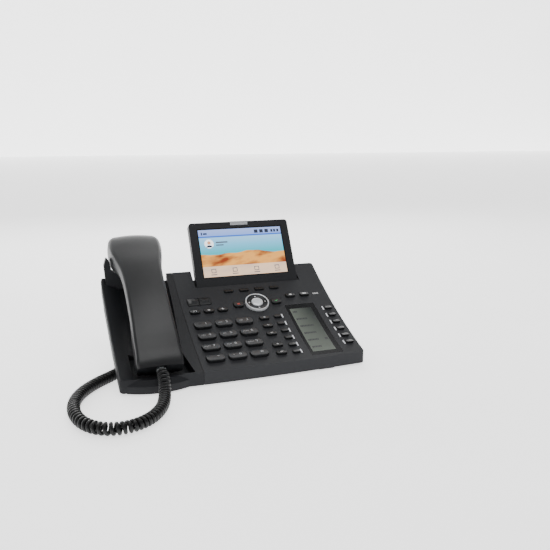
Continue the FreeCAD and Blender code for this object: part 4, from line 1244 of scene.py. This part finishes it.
@dataclass
class Navigation:
    """Ring with a silver rim and a dark dish, and the silver key in its middle."""

    deck: Deck
    finishes: Finishes
    x: float = 35.0
    y: float = 86.1
    radius: float = 12.6
    hole: float = 6.5
    select: float = 6.1
    rise: float = 2.8
    sides: int = 72

    def _turned(self, name: str, profile: Sequence[tuple[float, float, int]],
                materials: Sequence[bpy.types.Material], node: str) -> bpy.types.Object:
        """Turn a profile of radius, height and slot number about the deck's normal."""
        at = self.deck.matrix(self.x, self.y)
        rings = []
        for r, z, _ in profile:
            rings.append([at @ (Vector((r * math.cos(2 * math.pi * i / self.sides),
                                        r * math.sin(2 * math.pi * i / self.sides), z)) * MM)
                          for i in range(self.sides)])
        verts, faces = skin_loops(rings, cap_end=False)
        slots = [profile[j][2] for j in range(len(profile) - 1) for _ in range(self.sides)]
        obj = new_object(name, verts, faces, materials, slots)
        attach(obj, node)
        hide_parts(node)
        return obj

    def build(self) -> None:
        """Make the ring, the middle key and the four arrows."""
        r, h, z = self.radius, self.hole, self.rise
        silver, dark = self.finishes.silver, self.finishes.dark_ring
        ring = [(r, -4.1, 0), (r, z - 0.5, 0), (r - 0.12, z - 0.18, 0), (r - 0.35, z, 0),
                (r - 1.0, z - 0.05, 0), (r - 1.3, z - 0.35, 1), (r - 1.8, z - 0.85, 1),
                (h + 1.0, z - 0.95, 1), (h + 0.2, z - 1.05, 1), (h, z - 1.3, 1), (h, -4.0, 1)]
        self._turned("navigation_ring_cap", ring, [silver, dark], "navigation_ring")
        s = self.select
        button = [(s, -4.1, 0), (s, z - 0.7, 0), (s - 0.1, z - 0.35, 0), (s - 0.45, z - 0.1, 0),
                  (s * 0.75, z + 0.08, 0), (s * 0.45, z + 0.18, 0), (s * 0.2, z + 0.22, 0),
                  (0.05, z + 0.22, 0)]
        self._turned("select_key_cap", button, [silver], "select_key")
        mid = 0.5 * (h + r - 1.9)
        at = self.deck.matrix(self.x, self.y, z - 0.86)
        outlines = []
        for k in range(4):
            a = math.radians(90 * k)
            tri = [(mid + 0.9, 0.0), (mid - 0.4, 1.2), (mid - 0.4, -1.2)]
            ca, sa = math.cos(a), math.sin(a)
            outlines.append([(px * ca - py * sa, px * sa + py * ca) for px, py in tri])
        Mark("ring_arrows", outlines).build(lambda x, y: at @ (Vector((x, y, 0)) * MM),
                                            self.finishes.print_white, "navigation_ring")


# ---------------------------------------------------------------- display


@dataclass
class TiltingDisplay:
    """The colour display's casing, glass, picture marks and message light.

    Sizes are in millimetres in the panel's own frame: across, out of the back and up from the
    hinge axis.
    """

    deck: Deck
    finishes: Finishes
    pivot: Point3
    tilt: float = -29.0
    width: float = 95.04
    height: float = 53.86
    middle_up: float = 36.9
    glass_y: float = -3.65
    edge: float = 0.45

    def place(self, x: float, up: float, out: float) -> Vector:
        """Point on the glass.

        Args:
            x: across from the middle.
            up: up from the hinge axis.
            out: in front of the glass.

        Returns:
            Point in metres.
        """
        turn = Matrix.Rotation(math.radians(self.tilt), 4, "X")
        return Vector(self.pivot) + turn @ (Vector((x, self.glass_y - out, up)) * MM)

    def on_picture(self, u: float, v: float, out: float = 0.03) -> Vector:
        """Point of the picture, u across and v down in shares of its size."""
        return self.place((u - 0.5) * self.width, self.middle_up + (0.5 - v) * self.height, out)

    def over_picture(self, u: float, v: float) -> Vector:
        """The same point a little farther in front, for marks that lie on other marks."""
        return self.on_picture(u, v, 0.06)

    def build(self) -> None:
        """Dress the casing and draw the marks on the picture."""
        f = self.finishes
        body = Body.DISPLAY.value
        picture = Wallpaper("display_picture", self.width * MM, self.height * MM,
                            self.middle_up * MM, self.pivot, math.radians(self.tilt))
        take_part("display_window", picture.make(), body)
        take_part("display_frame", f.bezel, body, self.edge)
        take_part("display_rear_cover", f.bezel, body, self.edge)
        take_part("colour_display", f.black, body)
        take_part("message_light", f.light_lens, body, 0.3)
        self._marks()

    def _marks(self) -> None:
        """Icons and lines of the picture."""
        dark = Ink("screen_dark", "#20283c", glow=0.5).make()
        grey = Ink("screen_grey", "#5b5f6b", glow=0.6).make()
        pale = Ink("screen_pale", "#e9edf2", glow=1.4).make()
        skin = Ink("screen_face", "#c98f6c", glow=1.1).make()
        aspect = self.width / self.height
        body = Body.DISPLAY.value
        flat = self.on_picture
        status = [bar(0.67 + 0.065 * i, 0.715 + 0.065 * i, 0.04, 0.115) for i in range(3)]
        status += [bar(0.875, 0.90, 0.05, 0.11), bar(0.91, 0.935, 0.05, 0.11),
                   bar(0.95, 0.975, 0.05, 0.11)]
        status += [bar(0.03, 0.045, 0.05, 0.11), bar(0.055, 0.10, 0.065, 0.10)]
        Mark("status_icons", status).build(flat, dark, body)
        ground = disc(0, 0, 0.055, 28)
        head = disc(0, -0.012, 0.020, 20)
        shoulder = [(0.036 * math.cos(math.pi * i / 12), 0.042 - 0.026 * math.sin(math.pi * i / 12))
                    for i in range(13)]
        for name, outline, place, ink in (
            ("avatar_disc", ground, flat, pale), ("avatar_head", head, self.over_picture, skin),
            ("avatar_shoulders", shoulder, self.over_picture, dark),
        ):
            placed = [(0.11 + x, 0.30 + y * aspect) for x, y in outline]
            Mark(name, [placed]).build(place, ink, body)
        lines = [bar(0.19, 0.33, 0.262, 0.292), bar(0.19, 0.28, 0.322, 0.347)]
        Mark("name_lines", lines).build(flat, grey, body)
        icons = []
        for u in (0.12, 0.37, 0.63, 0.88):
            icons += [bar(u - 0.028, u + 0.028, 0.832, 0.846),
                      bar(u - 0.028, u - 0.02, 0.846, 0.905),
                      bar(u + 0.02, u + 0.028, 0.846, 0.905),
                      bar(u - 0.028, u + 0.028, 0.905, 0.919),
                      bar(u - 0.035, u + 0.035, 0.945, 0.962)]
        Mark("bar_icons", icons).build(flat, grey, body)


@dataclass
class Handset:
    """Both shells and what they hold."""

    finishes: Finishes

    def build(self) -> None:
        """Dress the handset's parts."""
        f = self.finishes
        body = Body.HANDSET.value
        take_part("handset_outer_shell", f.handset, body, 0.25)
        take_part("handset_inner_shell", f.handset, body, 0.25)
        take_part("handset_receiver", f.black, body)
        take_part("handset_microphone", f.black, body)
        take_part("handset_plug", f.clear, body)


# ---------------------------------------------------------------- main


def main() -> None:
    """Build the whole phone in order."""
    logging.basicConfig(level=logging.INFO, format="%(message)s")
    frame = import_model()
    deck = Deck.from_frame(frame["joints"])
    tilt = next(j for j in frame["joints"] if j["name"] == "display_tilt")
    finishes = Finishes()
    Studio(deck).build()
    LOG.info("studio ready")
    HandsetCord(deck, finishes).build()
    LOG.info("cord wound")
    PhoneBody(finishes).build()
    LineDisplay(deck, finishes).build()
    Keys(deck, finishes).build()
    Navigation(deck, finishes).build()
    TiltingDisplay(deck, finishes, tuple(tilt["pos_m"])).build()
    Handset(finishes).build()
    LOG.info("all pieces made")


if __name__ == "__main__":
    main()
